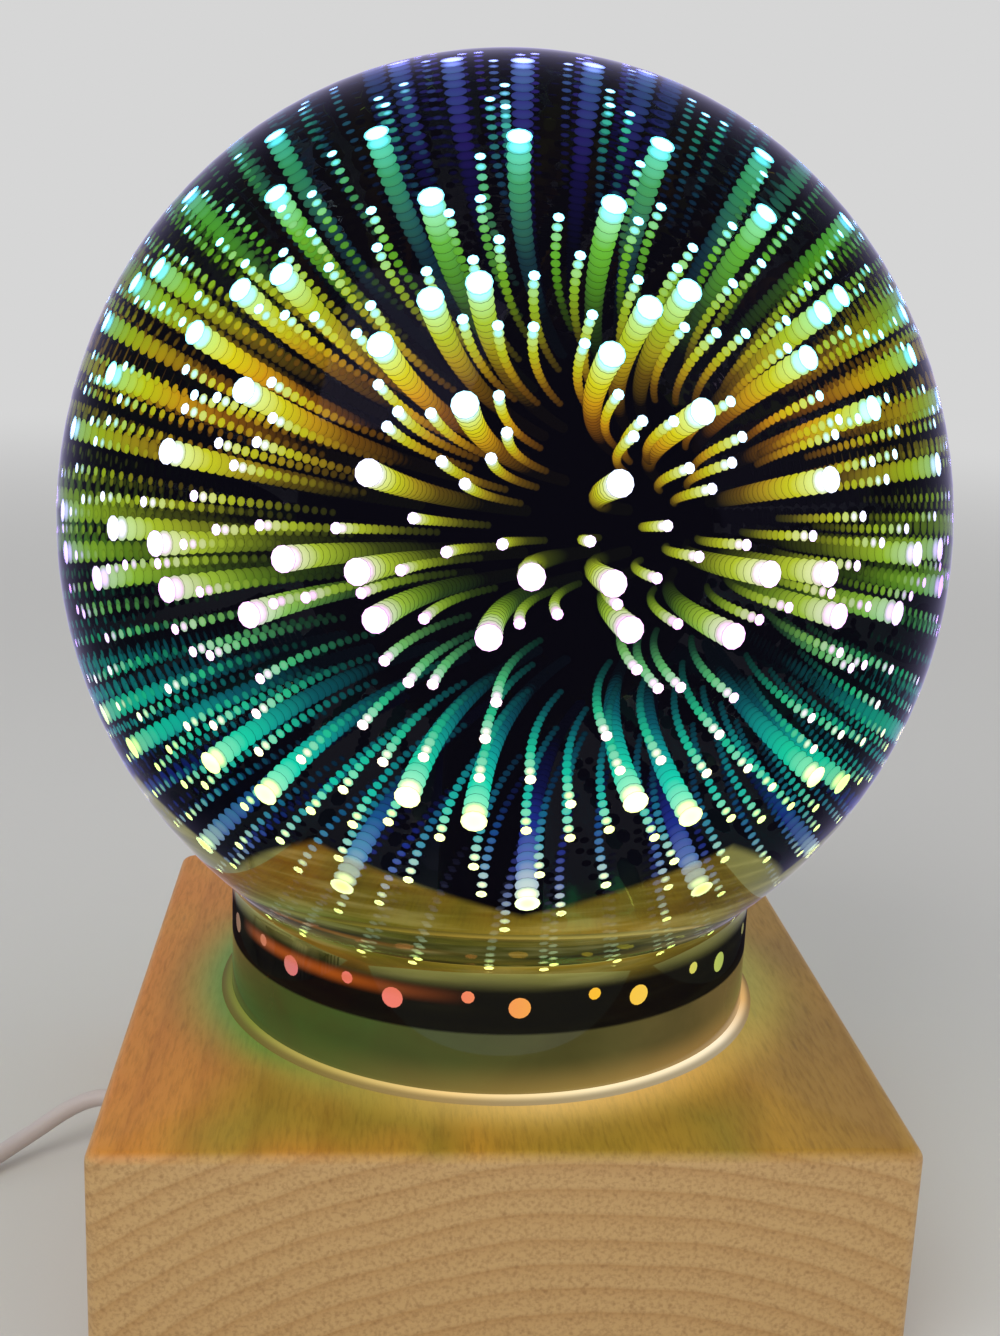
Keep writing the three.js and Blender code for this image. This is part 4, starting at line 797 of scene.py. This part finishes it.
def neck_dot(radius, height, sides, material, images=3):
    """A dot low on the neck with its mirror images: discs that face outwards, each a little further in and
    higher."""
    verts, faces = [], []
    gap, shrink, climb = 0.035, 0.12, 1.1
    for image in range(images):
        reach = (NECK_RADIUS - SIDE_WALL - 0.35) / (1 + gap * image)
        size, middle = radius / (1 + shrink * image), height + climb * image
        faces.append(range(len(verts), len(verts) + sides))
        for angle in [2 * math.pi * i / sides for i in range(sides)]:
            verts.append((reach, size * math.cos(angle), middle + size * math.sin(angle)))
    return shaped("neck_dot", (verts, faces), material, smooth=False)


def wooden_base(material):
    """The block with its groove, its through hole and the rebate and cavity in its underside."""
    angles, side_steps, corner_steps, edge_steps = [], 12, 8, 6
    to_corner = math.atan2(BASE_SIDE / 2 - CORNER_ROUND, BASE_SIDE / 2)
    rest = math.pi / 2 - 2 * to_corner
    for turn in [quarter * math.pi / 2 for quarter in range(4)]:
        angles += [turn - to_corner + 2 * to_corner * i / side_steps for i in range(side_steps)]
        angles += [turn + to_corner + rest * i / corner_steps for i in range(corner_steps)]

    def rings(*outline):
        return [[(r * math.cos(a), r * math.sin(a), z) for a in angles] for r, z in outline]

    rounded = []
    for i in range(edge_steps + 1):
        angle = math.pi / 2 * (1 - i / edge_steps)
        inset = EDGE_ROUND * (1 - math.cos(angle))
        rounded.append((BASE_SIDE - 2 * inset, BASE_TOP - EDGE_ROUND * (1 - math.sin(angle))))
    rounded += [(side, BASE_TOP + BASE_BOTTOM - height) for side, height in reversed(rounded)]
    loops = rings(
        (HOLE_RADIUS, CEILING), (HOLE_RADIUS, BASE_TOP), (GROOVE_INNER, BASE_TOP),
        (GROOVE_INNER, GROOVE_FLOOR), (GROOVE_OUTER, GROOVE_FLOOR), (GROOVE_OUTER, BASE_TOP),
    )
    for side, height in rounded:
        loops.append(rounded_square(side, CORNER_ROUND - (BASE_SIDE - side) / 4, height, angles))
    for height in (BASE_BOTTOM, REBATE_TOP):
        loops.append(rounded_square(REBATE_SIDE, REBATE_CORNER, height, angles))
    loops += rings((CAVITY_RADIUS, REBATE_TOP), (CAVITY_RADIUS, CEILING))
    return shaped("wooden_base", stacked(loops, closed=True, inside_out=True), material)


def bead_round_the_foot(material, steps=6):
    """The bead of clear silicone between the neck's foot and the wood."""
    inner, low = NECK_RADIUS + 0.05, BASE_TOP + BEAD_GAP
    outline = [(inner, low), (inner + BEAD_WIDTH, low)]
    for i in range(1, steps):
        angle = math.pi / 2 * i / steps
        height = (BEAD_HEIGHT - BEAD_GAP) * math.sin(angle)
        outline.append((inner + BEAD_WIDTH * math.cos(angle) ** 1.3, low + height))
    outline.append((inner, BASE_TOP + BEAD_HEIGHT))
    return shaped("foot_bead_lit", turned(outline, 128, closed=True), material)


def rubber_foot(material):
    """One foot, with the rounded edge of a stick-on rubber bumper."""
    outline = [(0, 0), (3.6, 0), (4.5, 0.15), (4.87, 0.45), (FOOT_RADIUS, 0.9), (FOOT_RADIUS, 2), (0, 2)]
    place = BASE_SIDE / 2 - FOOT_INSET
    return shaped("foot", turned(outline, 48, place, place), material)


# Lead, switch and plug


def ribbed(tip_radius, root_radius, groove, tip, root, ribs=3):
    """The outline of a tapering, ribbed sleeve that keeps the lead from kinking, from its tip to its root."""
    outline = [(0, tip), (tip_radius - 0.25, tip), (tip_radius, tip + 0.25)]
    profile = [(0.3, 0), (0.38, 0.35), (0.46, 0.9), (0.52, 1), (0.83, 1), (0.89, 0.9), (0.96, 0.35), (1, 0)]
    for i in range(ribs):
        for share, dip in profile:
            along = (i + share) / ribs
            radius = tip_radius + (root_radius - tip_radius) * along - groove * dip
            outline.append((radius, tip + (root - tip) * along))
    return outline


def strain_relief(material):
    """The ribbed sleeve with its flange on the base's left side and its spigot in the wall."""
    flange, spigot, face = 5.6, 3.3, -BASE_SIDE / 2 - SEAT_GAP
    start, end = face - 1.5, face + 11
    outline = ribbed(2.3, 4.3, 0.5, face - 8, start) + [(flange - 0.3, start), (flange, start + 0.3)]
    outline += [(flange, face - 0.15), (flange - 0.15, face), (spigot, face), (spigot, end), (0, end)]
    verts, faces = turned(outline, 48)
    _, exit_y, exit_z = LEAD_ROUTE[0]
    verts = [(along, exit_y + across, exit_z + up) for across, up, along in verts]
    return shaped("ribbed_strain_relief", (verts, faces), material)


def smooth_path(points, per_span):
    """A smooth curve through the points, its pace by the square root of each span, so that it never loops."""
    pts = [Vector(p) for p in points]
    pts = [2 * pts[0] - pts[1]] + pts + [2 * pts[-1] - pts[-2]]
    out = []
    for p0, p1, p2, p3 in zip(pts, pts[1:], pts[2:], pts[3:]):
        t0, t1 = 0.0, (p1 - p0).length ** 0.5
        t2 = t1 + (p2 - p1).length ** 0.5
        t3 = t2 + (p3 - p2).length ** 0.5
        for i in range(per_span):
            t = t1 + (t2 - t1) * i / per_span
            a1 = p0 * ((t1 - t) / (t1 - t0)) + p1 * ((t - t0) / (t1 - t0))
            a2 = p1 * ((t2 - t) / (t2 - t1)) + p2 * ((t - t1) / (t2 - t1))
            a3 = p2 * ((t3 - t) / (t3 - t2)) + p3 * ((t - t2) / (t3 - t2))
            b1 = a1 * ((t2 - t) / (t2 - t0)) + a2 * ((t - t0) / (t2 - t0))
            b2 = a2 * ((t3 - t) / (t3 - t1)) + a3 * ((t - t1) / (t3 - t1))
            out.append(b1 * ((t2 - t) / (t2 - t1)) + b2 * ((t - t1) / (t2 - t1)))
    return out + [pts[-2]]


def coil_point(turn):
    """A point of the coil's centre line, which winds inwards below and outwards again above."""
    from_reversal = turn - COIL_TURNS / 2
    radius = COIL_OUTER - TURN_STEP * COIL_TURNS / 2 + TURN_STEP * abs(from_reversal)
    share = min(1, max(0, 0.5 + from_reversal * 2))
    height = COIL_RISE + LAYER_STEP * share * share * (3 - 2 * share)
    angle = -2 * math.pi * turn
    return COIL_X + radius * math.cos(angle), COIL_Y + radius * math.sin(angle), height


def lead_points(steps_per_turn=24):
    """From the base's strain relief along the table, round the coil, and into the switch."""
    x, y, z = coil_point(0)
    route = LEAD_ROUTE + [(x, y + 6 * CORD_RADIUS + SEAT_GAP, z)]
    route += [(x, y + 4 * CORD_RADIUS, z), (x, y + 2 * CORD_RADIUS, z)]
    steps = round(COIL_TURNS * steps_per_turn)
    route += [coil_point(COIL_TURNS * i / steps) for i in range(steps + 1)]
    x, y, z = coil_point(COIL_TURNS)
    stop = COIL_Y + SWITCH_DISTANCE - SEAT_GAP
    route += [(x, y + 4 * CORD_RADIUS, z), (x, (y + stop) / 2, (z + SWITCH_CORD_RISE) / 2 - CORD_RADIUS)]
    route += [(x, stop - 4 * CORD_RADIUS, SWITCH_CORD_RISE - CORD_RADIUS / 4)]
    route += [(x, stop - 2 * CORD_RADIUS, SWITCH_CORD_RISE), (x, stop, SWITCH_CORD_RISE)]
    return smooth_path(route, 2)


def plug_lead_points(steps=8):
    """From the switch in a half turn to the plug."""
    route = [(SWITCH_X, COIL_Y + SWITCH_DISTANCE + SWITCH_LENGTH + SEAT_GAP, SWITCH_CORD_RISE)]
    turn_x, turn_y = SWITCH_X + PLUG_TURN, PLUG_START + 2 * CORD_RADIUS
    for i in range(steps + 1):
        angle = math.pi * (1 - i / steps)
        rise = SWITCH_CORD_RISE + (PLUG_RISE - SWITCH_CORD_RISE) * i / steps
        sag = (SWITCH_CORD_RISE - 1.5 * CORD_RADIUS) * math.sin(angle)
        route.append((turn_x + PLUG_TURN * math.cos(angle), turn_y + PLUG_TURN * math.sin(angle), rise - sag))
    route.append((turn_x + PLUG_TURN, PLUG_START + SEAT_GAP, PLUG_RISE))
    return smooth_path(route, 6)


def coil_tie(material, half_width=3, thickness=0.5, ease=0.12):
    """A hook-and-loop strap round the coil's ten turns, with its end lapped over the top."""
    wound = TURN_STEP * (COIL_TURNS - 0.5) / 2
    spread = wound / 2 + CORD_RADIUS + SEAT_GAP
    high = COIL_RISE + LAYER_STEP + CORD_RADIUS + SEAT_GAP + thickness
    y = COIL_Y - COIL_OUTER + wound / 2
    outer = (spread + thickness, high / 2, 2.2)
    inner = (spread, high / 2 - thickness, 1.7)
    loops = []
    for (half_y, half_z, corner), x, trim in [
        (inner, -half_width, 0), (outer, -half_width, ease), (outer, ease - half_width, 0),
        (outer, half_width - ease, 0), (outer, half_width, ease), (inner, half_width, 0),
    ]:
        loops.append(rounded_loop(half_y - trim, half_z - trim, corner, (y, high / 2), COIL_X + x))
    lap = boxed(
        (COIL_X - half_width + 0.2, y - 6, high - 0.05), (COIL_X + half_width - 0.2, y + 4, high + 0.45)
    )
    return shaped("coil_tie", joined(stacked(loops, closed=True, inside_out=True), lap), material)


def bend_between(start, control, end, along):
    """The height of a quadratic curve from start over control to end, where it is that far along."""
    low, high = 0.0, 1.0
    for _ in range(30):
        t = (low + high) / 2
        if (1 - t) ** 2 * start[0] + 2 * t * (1 - t) * control[0] + t * t * end[0] < along:
            low = t
        else:
            high = t
    return (1 - t) ** 2 * start[1] + 2 * t * (1 - t) * control[1] + t * t * end[1]


def switch_section(along):
    """The switch's half width and its height, that far from its middle."""
    reach = SWITCH_LENGTH / 2
    belly = reach * 0.45
    if along <= belly:
        return SWITCH_HALF, SWITCH_HEIGHT
    half = bend_between((belly, SWITCH_HALF), (reach * 0.8, SWITCH_HALF), (reach, SWITCH_NOSE), along)
    high = bend_between(
        (belly, SWITCH_HEIGHT), (reach * 0.75, SWITCH_HEIGHT), (reach, SWITCH_NOSE_HEIGHT), along
    )
    return half, high


def switch_half(name, upper, material):
    """One shell of the in-line switch, lofted along the lead, its outer edges eased."""
    reach, seam, steps = SWITCH_LENGTH / 2, 0.3, 40
    stations = [-reach + 0.5 + (2 * reach - 1) * i / steps for i in range(steps + 1)]
    stations = [-reach + 0.01] + stations + [reach - 0.01]
    quarter = [math.pi / 2 * i / 6 for i in range(7)]
    arc = [(1 - math.cos(angle), 1 - math.sin(angle)) for angle in quarter]
    loops = []
    for along in stations:
        half, high = switch_section(abs(along))
        trim = 0.4 if abs(along) > reach - 0.3 else 0
        half -= trim
        if upper:
            top, ease = high - trim, 2.6
            side = [(half, SWITCH_SPLIT + seam / 2)] + [(half - ease * a, top - ease * b) for a, b in arc]
        else:
            ease = 1.0
            side = [(half - ease * b, trim + ease * a) for a, b in arc] + [(half, SWITCH_SPLIT - seam / 2)]
        side += [(-x, z) for x, z in reversed(side)]
        loops.append([(SWITCH_X - x, SWITCH_Y + along, z) for x, z in side])
    middles = [tuple(sum(c) / len(loop) for c in zip(*loop)) for loop in (loops[0], loops[-1])]
    first, last = [[middle] * len(loops[0]) for middle in middles]
    return shaped(name, stacked([first] + loops + [last]), material)


def switch_shells(material):
    """Both shells, the upper one with the rocker's window cut out and its edges eased."""
    lower = switch_half("switch_base_shell", False, material)
    upper = switch_half("switch_top_shell", True, material)
    reach, half = ROCKER_REACH + 0.39, ROCKER_WIDTH / 2 + SEAT_GAP
    window = boxed((SWITCH_X - half, SWITCH_Y - reach, 0), (SWITCH_X + half, SWITCH_Y + reach, 20))
    cutter = shaped("rocker_window", window, material)
    cut = upper.modifiers.new("window", "BOOLEAN")
    cut.object, cut.operation, cut.solver = cutter, "DIFFERENCE", "EXACT"
    eased = upper.modifiers.new("eased_edges", "BEVEL")
    eased.width, eased.segments = 0.25 * MM, 2
    eased.limit_method, eased.angle_limit = "ANGLE", math.radians(50)
    upper.data = applied(upper)
    smoothed(upper.data)
    bpy.data.objects.remove(cutter)
    return lower, upper


def switch_rocker(material):
    """The rocker, dished on top, with a bar for on and a ring for off. At rest it is on, its far end down."""
    top, low = math.asin(ROCKER_END / ROCKER_REACH), math.asin(ROCKER_DROP / ROCKER_REACH)
    end = [-low + (top + low) * i / 8 for i in range(9)]
    end = [(ROCKER_REACH * math.cos(angle), ROCKER_REACH * math.sin(angle)) for angle in end]
    edge, middle = end[-1][0], 2 * ROCKER_MIDDLE - ROCKER_END
    dish = []
    for t in [i / 16 for i in range(1, 16)]:
        rise = (1 - t) ** 2 * ROCKER_END + 2 * t * (1 - t) * middle + t * t * ROCKER_END
        dish.append((edge * (1 - 2 * t), rise))
    side = end + dish + [(-x, z) for x, z in reversed(end)]
    half = ROCKER_WIDTH / 2
    loops = []
    for size, y in [(0, -half), (0.97, -half), (1, -half + 0.25), (1, half - 0.25), (0.97, half), (0, half)]:
        loops.append([(size * x, y, size * z) for x, z in side])
    stem = boxed((-1.5, -1.5, -5.4), (1.5, 1.5, -2))
    bar = boxed((4.9, -1.3, 2.0), (5.3, 1.3, 3.0))
    ring = [(1.0, 2.0), (1.35, 2.0), (1.35, 2.75), (1.0, 2.75)]
    ring = turned(ring, 24, x=-5, closed=True, inside_out=True)
    verts, faces = joined(stacked(loops, inside_out=True), stem, bar, ring)
    turn = math.radians(ROCKER_TILT)
    ahead, down = math.cos(turn), math.sin(turn)
    tilted = [(SWITCH_X - y, SWITCH_Y + x * ahead + z * down, PIVOT_RISE + z * ahead - x * down)
              for x, y, z in verts]
    return shaped("rocker_button", (tilted, faces), material)


def plug_grip(material, steps=60):
    """The plug's moulded grip with finger grooves, and its ribbed tail."""
    x, front = SWITCH_X + 2 * PLUG_TURN, PLUG_START - PLUG_TAIL
    depth, pitch, loops = 0.35, 2.6, []
    for along in [PLUG_LENGTH * i / steps for i in range(steps + 1)]:
        end = min(along, PLUG_LENGTH - along, PLUG_ROUND)
        trim = PLUG_ROUND - math.sqrt(PLUG_ROUND**2 - (PLUG_ROUND - end) ** 2)
        groove = depth * max(0, math.cos((along - 9) * 2 * math.pi / pitch)) if 4.4 < along < 13.6 else 0
        half, high = PLUG_HALF - trim, PLUG_HALF_HEIGHT - trim - groove
        loop = rounded_loop(half, high, min(max(0.4, 2.6 - trim), high), (0, 0), 0)
        loops.append([(x - y, front - along, PLUG_RISE + z) for _, y, z in loop])
    ends = [[(x, y, PLUG_RISE)] * len(loops[0]) for y in (front, front - PLUG_LENGTH)]
    grip = stacked([ends[0]] + loops + [ends[1]])
    verts, faces = turned(ribbed(2.2, 3.3, 0.45, -PLUG_TAIL, 0) + [(3.3, 2), (0, 2)], 40)
    tail = [(x + across, front - along, PLUG_RISE + up) for up, across, along in verts]
    return shaped("plug_grip", joined(grip, (tail, faces)), material)


# The object


def set_in(piece, body, slot, *stands_for):
    """Puts a piece on its body, in place of the CAD nodes that it stands for. Its slot is not used."""
    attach(piece, body)
    if stands_for:
        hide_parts(*stands_for)
    return piece


# The dots glow in the glass but light nothing else, so no light is sampled from them
painted_black_coat = mirror_painted_black()
neck_lit = neck_light()
neck_lit.cycles.emission_sampling = "NONE"
set_in(glass_globe(), "lamp", "globe_glass", "glass_globe")
set_in(dark_core(painted_black_coat), "lamp", "mirror_film")

images = trails_tree()
for size, dots, end, strength, values in [
    ("large", LARGE_DOTS, 0.38, 12.5, {"Dot Radius": 1.85 * MM, "Images": 36, "Swirl": 0.00027}),
    ("small", SMALL_DOTS, 0.48, 11.0, {"Dot Radius": 0.8 * MM, "Images": 16, "Sides": 8, "Swirl": 0.0005}),
]:
    lit = trail_light(end, strength, name=size + "_trail_light")
    lit.cycles.emission_sampling = "NONE"
    rows = grown(size + "_dot_images", dot_seeds(dots), images, values | {"Light": lit, "Dark": painted_black_coat})
    set_in(rows, "lamp", "mirror_film", "mirror_film")

set_in(wooden_base(oiled_beech()), "lamp", "pale_wood", "base_block")
in_a_ring = ring_tree()
for size, radius, rise, turn, sides in [("large", 1.75, 15.2, 2.2, 16), ("small", 1.05, 16.8, 17.6, 10)]:
    dot = neck_dot(radius, BASE_TOP + rise, sides, neck_lit)
    values = {"Copies": TURNS_OF_DOTS, "First Turn": math.radians(turn - 90), "Finish": neck_lit}
    set_in(grown(size + "_neck_dots", dot, in_a_ring, values), "lamp", "mirror_film")

set_in(bead_round_the_foot(foot_light()), "lamp", "clear_silicone", "foot_bead")
rubber = moulded("#2B2B2C", 0.85, 0.4, 0.03, name="foot_rubber")
feet = grown("rubber_feet", rubber_foot(rubber), in_a_ring, {"Copies": 4, "Finish": rubber})
set_in(feet, "lamp", "foot_rubber", *[f"rubber_foot_{i}" for i in range(1, 5)])

cord_skin = soft_pvc()
set_in(strain_relief(cord_skin), "lamp", "cord_pvc", "cord_strain_relief")
lead_line, plug_line = lead_points(), plug_lead_points()
lead = set_in(tube("lead", lead_line, cord_skin), "lamp", "cord_pvc", "cord_lead", "cord_coil")
plug_lead = set_in(tube("plug_lead", plug_line, cord_skin), "lamp", "cord_pvc", "cord_end")
tie = set_in(coil_tie(woven_nylon_strap()), "lamp", "black_component", "cord_tie")
base_shell, top_shell = switch_shells(moulded("#C6BBB9", 0.42, 0.3, 0.02, name="lead_grey_abs"))
set_in(base_shell, "lamp", "switch_plastic", "switch_lower_shell")
set_in(top_shell, "lamp", "switch_plastic", "switch_upper_shell")
button = switch_rocker(moulded("#17171A", 0.35, 0.35, 0.012, name="satin_black_abs"))
set_in(button, "rocker", "rocker_plastic", "switch_rocker")
grip = set_in(plug_grip(cord_skin), "lamp", "cord_pvc", "plug_body")

# Finishes of the CAD nodes that stay, by patterns of their names: matt and grained where they are moulded,
# glossier where they are lacquered or potted, and bright where they are plated
for patterns, material in [
    ("bottom_cover", moulded("#1C1C1E", 0.55, 0.5, 0.03, name="black_abs")),
    ("*_screw_? switch_screw switch_pivot_pin", metal("#B9BCC2", 0.32, name="zinc_plated_steel")),
    ("seat_gasket", moulded("#D8D4C8", 0.4, 1.2, 0.01, name="clear_silicone")),
    ("led_holder wire_socket cord_clamp plug_insert",
     moulded("#E6E3DA", 0.45, 0.5, 0.02, name="white_polycarbonate")),
    ("led_board", moulded("#ECECE6", 0.3, 0.8, 0.01, name="white_solder_mask")),
    ("led_?", led_phosphor()),
    ("driver_board", moulded("#15522F", 0.28, 0.9, 0.02, name="green_solder_mask")),
    ("driver_chip driver_capacitor", moulded("#141415", 0.5, 0.3, 0.02, name="black_epoxy")),
    ("*_wire_red", moulded("#A41E18", 0.4, 0.6, 0.01, name="red_pvc_insulation")),
    ("*_wire_black", moulded("#161616", 0.4, 0.6, 0.01, name="black_pvc_insulation")),
    ("cord_tail", cord_skin),
    ("plug_shell", metal("#C4C2BC", 0.24, name="nickel_plated_steel")),
    ("plug_contact_? switch_contact switch_terminal_*", metal("#C9A04A", 0.26, name="gold_flashed_brass")),
]:
    for name, node in nodes.items():
        if any(fnmatch(name, pattern) for pattern in patterns.split()):
            node.data.materials.clear()
            node.data.materials.append(material)


# Floor, light and camera

BACKDROP = "#D6D6D6"


def seen_directly(add):
    """1 for a ray from the camera, from a shiny thing or through glass, and 0 for one that only lights."""
    path = add("LightPath").outputs
    seen = add("Math", {0: path["Is Camera Ray"], 1: path["Is Glossy Ray"]}, operation="MAXIMUM")
    return add("Math", {0: seen, 1: path["Is Transmission Ray"]}, operation="MAXIMUM")


@finish
def pale_floor(add):
    """A pale matt floor that turns into the backdrop away from the object, and keeps the object's shadow."""
    far = add("VectorMath", {0: add("TexCoord").outputs["Object"]}, operation="LENGTH")
    fade = add("MapRange", {"Value": far, 1: 0.35, 2: 1.6}, **SMOOTH)
    share = add("Math", {0: fade, 1: seen_directly(add)}, operation="MULTIPLY")
    near = add("BsdfPrincipled", {"Base Color": linear("#D9D7D3"), "Roughness": 0.9})
    away = add("Emission", {"Color": linear(BACKDROP), "Strength": 1.0})
    return add("MixShader", {0: share, 1: near, 2: away})


def studio():
    """The floor, an even sky, and two soft lamps above the object's left and right."""
    mesh = bpy.data.meshes.new("floor")
    mesh.from_pydata([(-4, -4, 0), (4, -4, 0), (4, 4, 0), (-4, 4, 0)], [], [(0, 1, 2, 3)])
    mesh.materials.append(pale_floor())
    floor = bpy.data.objects.new("floor", mesh)
    bpy.context.scene.collection.objects.link(floor)
    world = bpy.data.worlds.new("studio")
    bpy.context.scene.world = world
    world.use_nodes = True
    world.node_tree.nodes.clear()
    add = partial(add_node, world.node_tree)
    light = add("Background", {"Color": linear("#F4F6FA"), "Strength": 0.55})
    shown = add("Background", {"Color": linear(BACKDROP), "Strength": 1.0})
    mixed = add("MixShader", {0: seen_directly(add), 1: light, 2: shown})
    add("OutputWorld", {"Surface": mixed})
    for name, energy, size, spot in [
        ("key", 5.0, 0.7, (-0.5, -0.7, 0.9)), ("fill", 2.0, 0.9, (0.8, -0.3, 0.6)),
    ]:
        light = bpy.data.lights.new(name, "AREA")
        light.energy, light.size = energy, size
        lamp = bpy.data.objects.new(name, light)
        direction = Vector((0, 0, 0.08)) - Vector(spot)
        turn = direction.to_track_quat("-Z", "Y").to_matrix().to_4x4()
        lamp.matrix_world = Matrix.Translation(spot) @ turn
        bpy.context.scene.collection.objects.link(lamp)


def camera():
    """The photograph's view: a little above the globe, slightly turned and tilted. Its place is in widths of
    the base, from the middle of the base's top, and its focal length in pixels of the photograph."""
    yaw, pitch, roll = math.radians(4.593), math.radians(13.766), math.radians(2.288)
    place, focal, photo_height, sensor = (-0.176, -2.2068, 1.0086), 1622.4, 1336, 36
    ahead = Vector((math.sin(yaw) * math.cos(pitch), math.cos(yaw) * math.cos(pitch), -math.sin(pitch)))
    right = Vector((math.cos(yaw), -math.sin(yaw), 0))
    up = right.cross(ahead)
    right, up = math.cos(roll) * right + math.sin(roll) * up, math.cos(roll) * up - math.sin(roll) * right
    data = bpy.data.cameras.new("camera")
    data.sensor_width, data.lens, data.clip_start = sensor, focal * sensor / photo_height, 0.01
    eye = bpy.data.objects.new("camera", data)
    turn = Matrix((right, up, -ahead)).transposed().to_4x4()
    spot = Vector(place) * BASE_SIDE * MM + Vector((0, 0, BASE_TOP * MM))
    eye.matrix_world = Matrix.Translation(spot) @ turn
    bpy.context.scene.collection.objects.link(eye)
    bpy.context.scene.camera = eye


studio()
camera()
bpy.context.scene.view_settings.view_transform = "Standard"
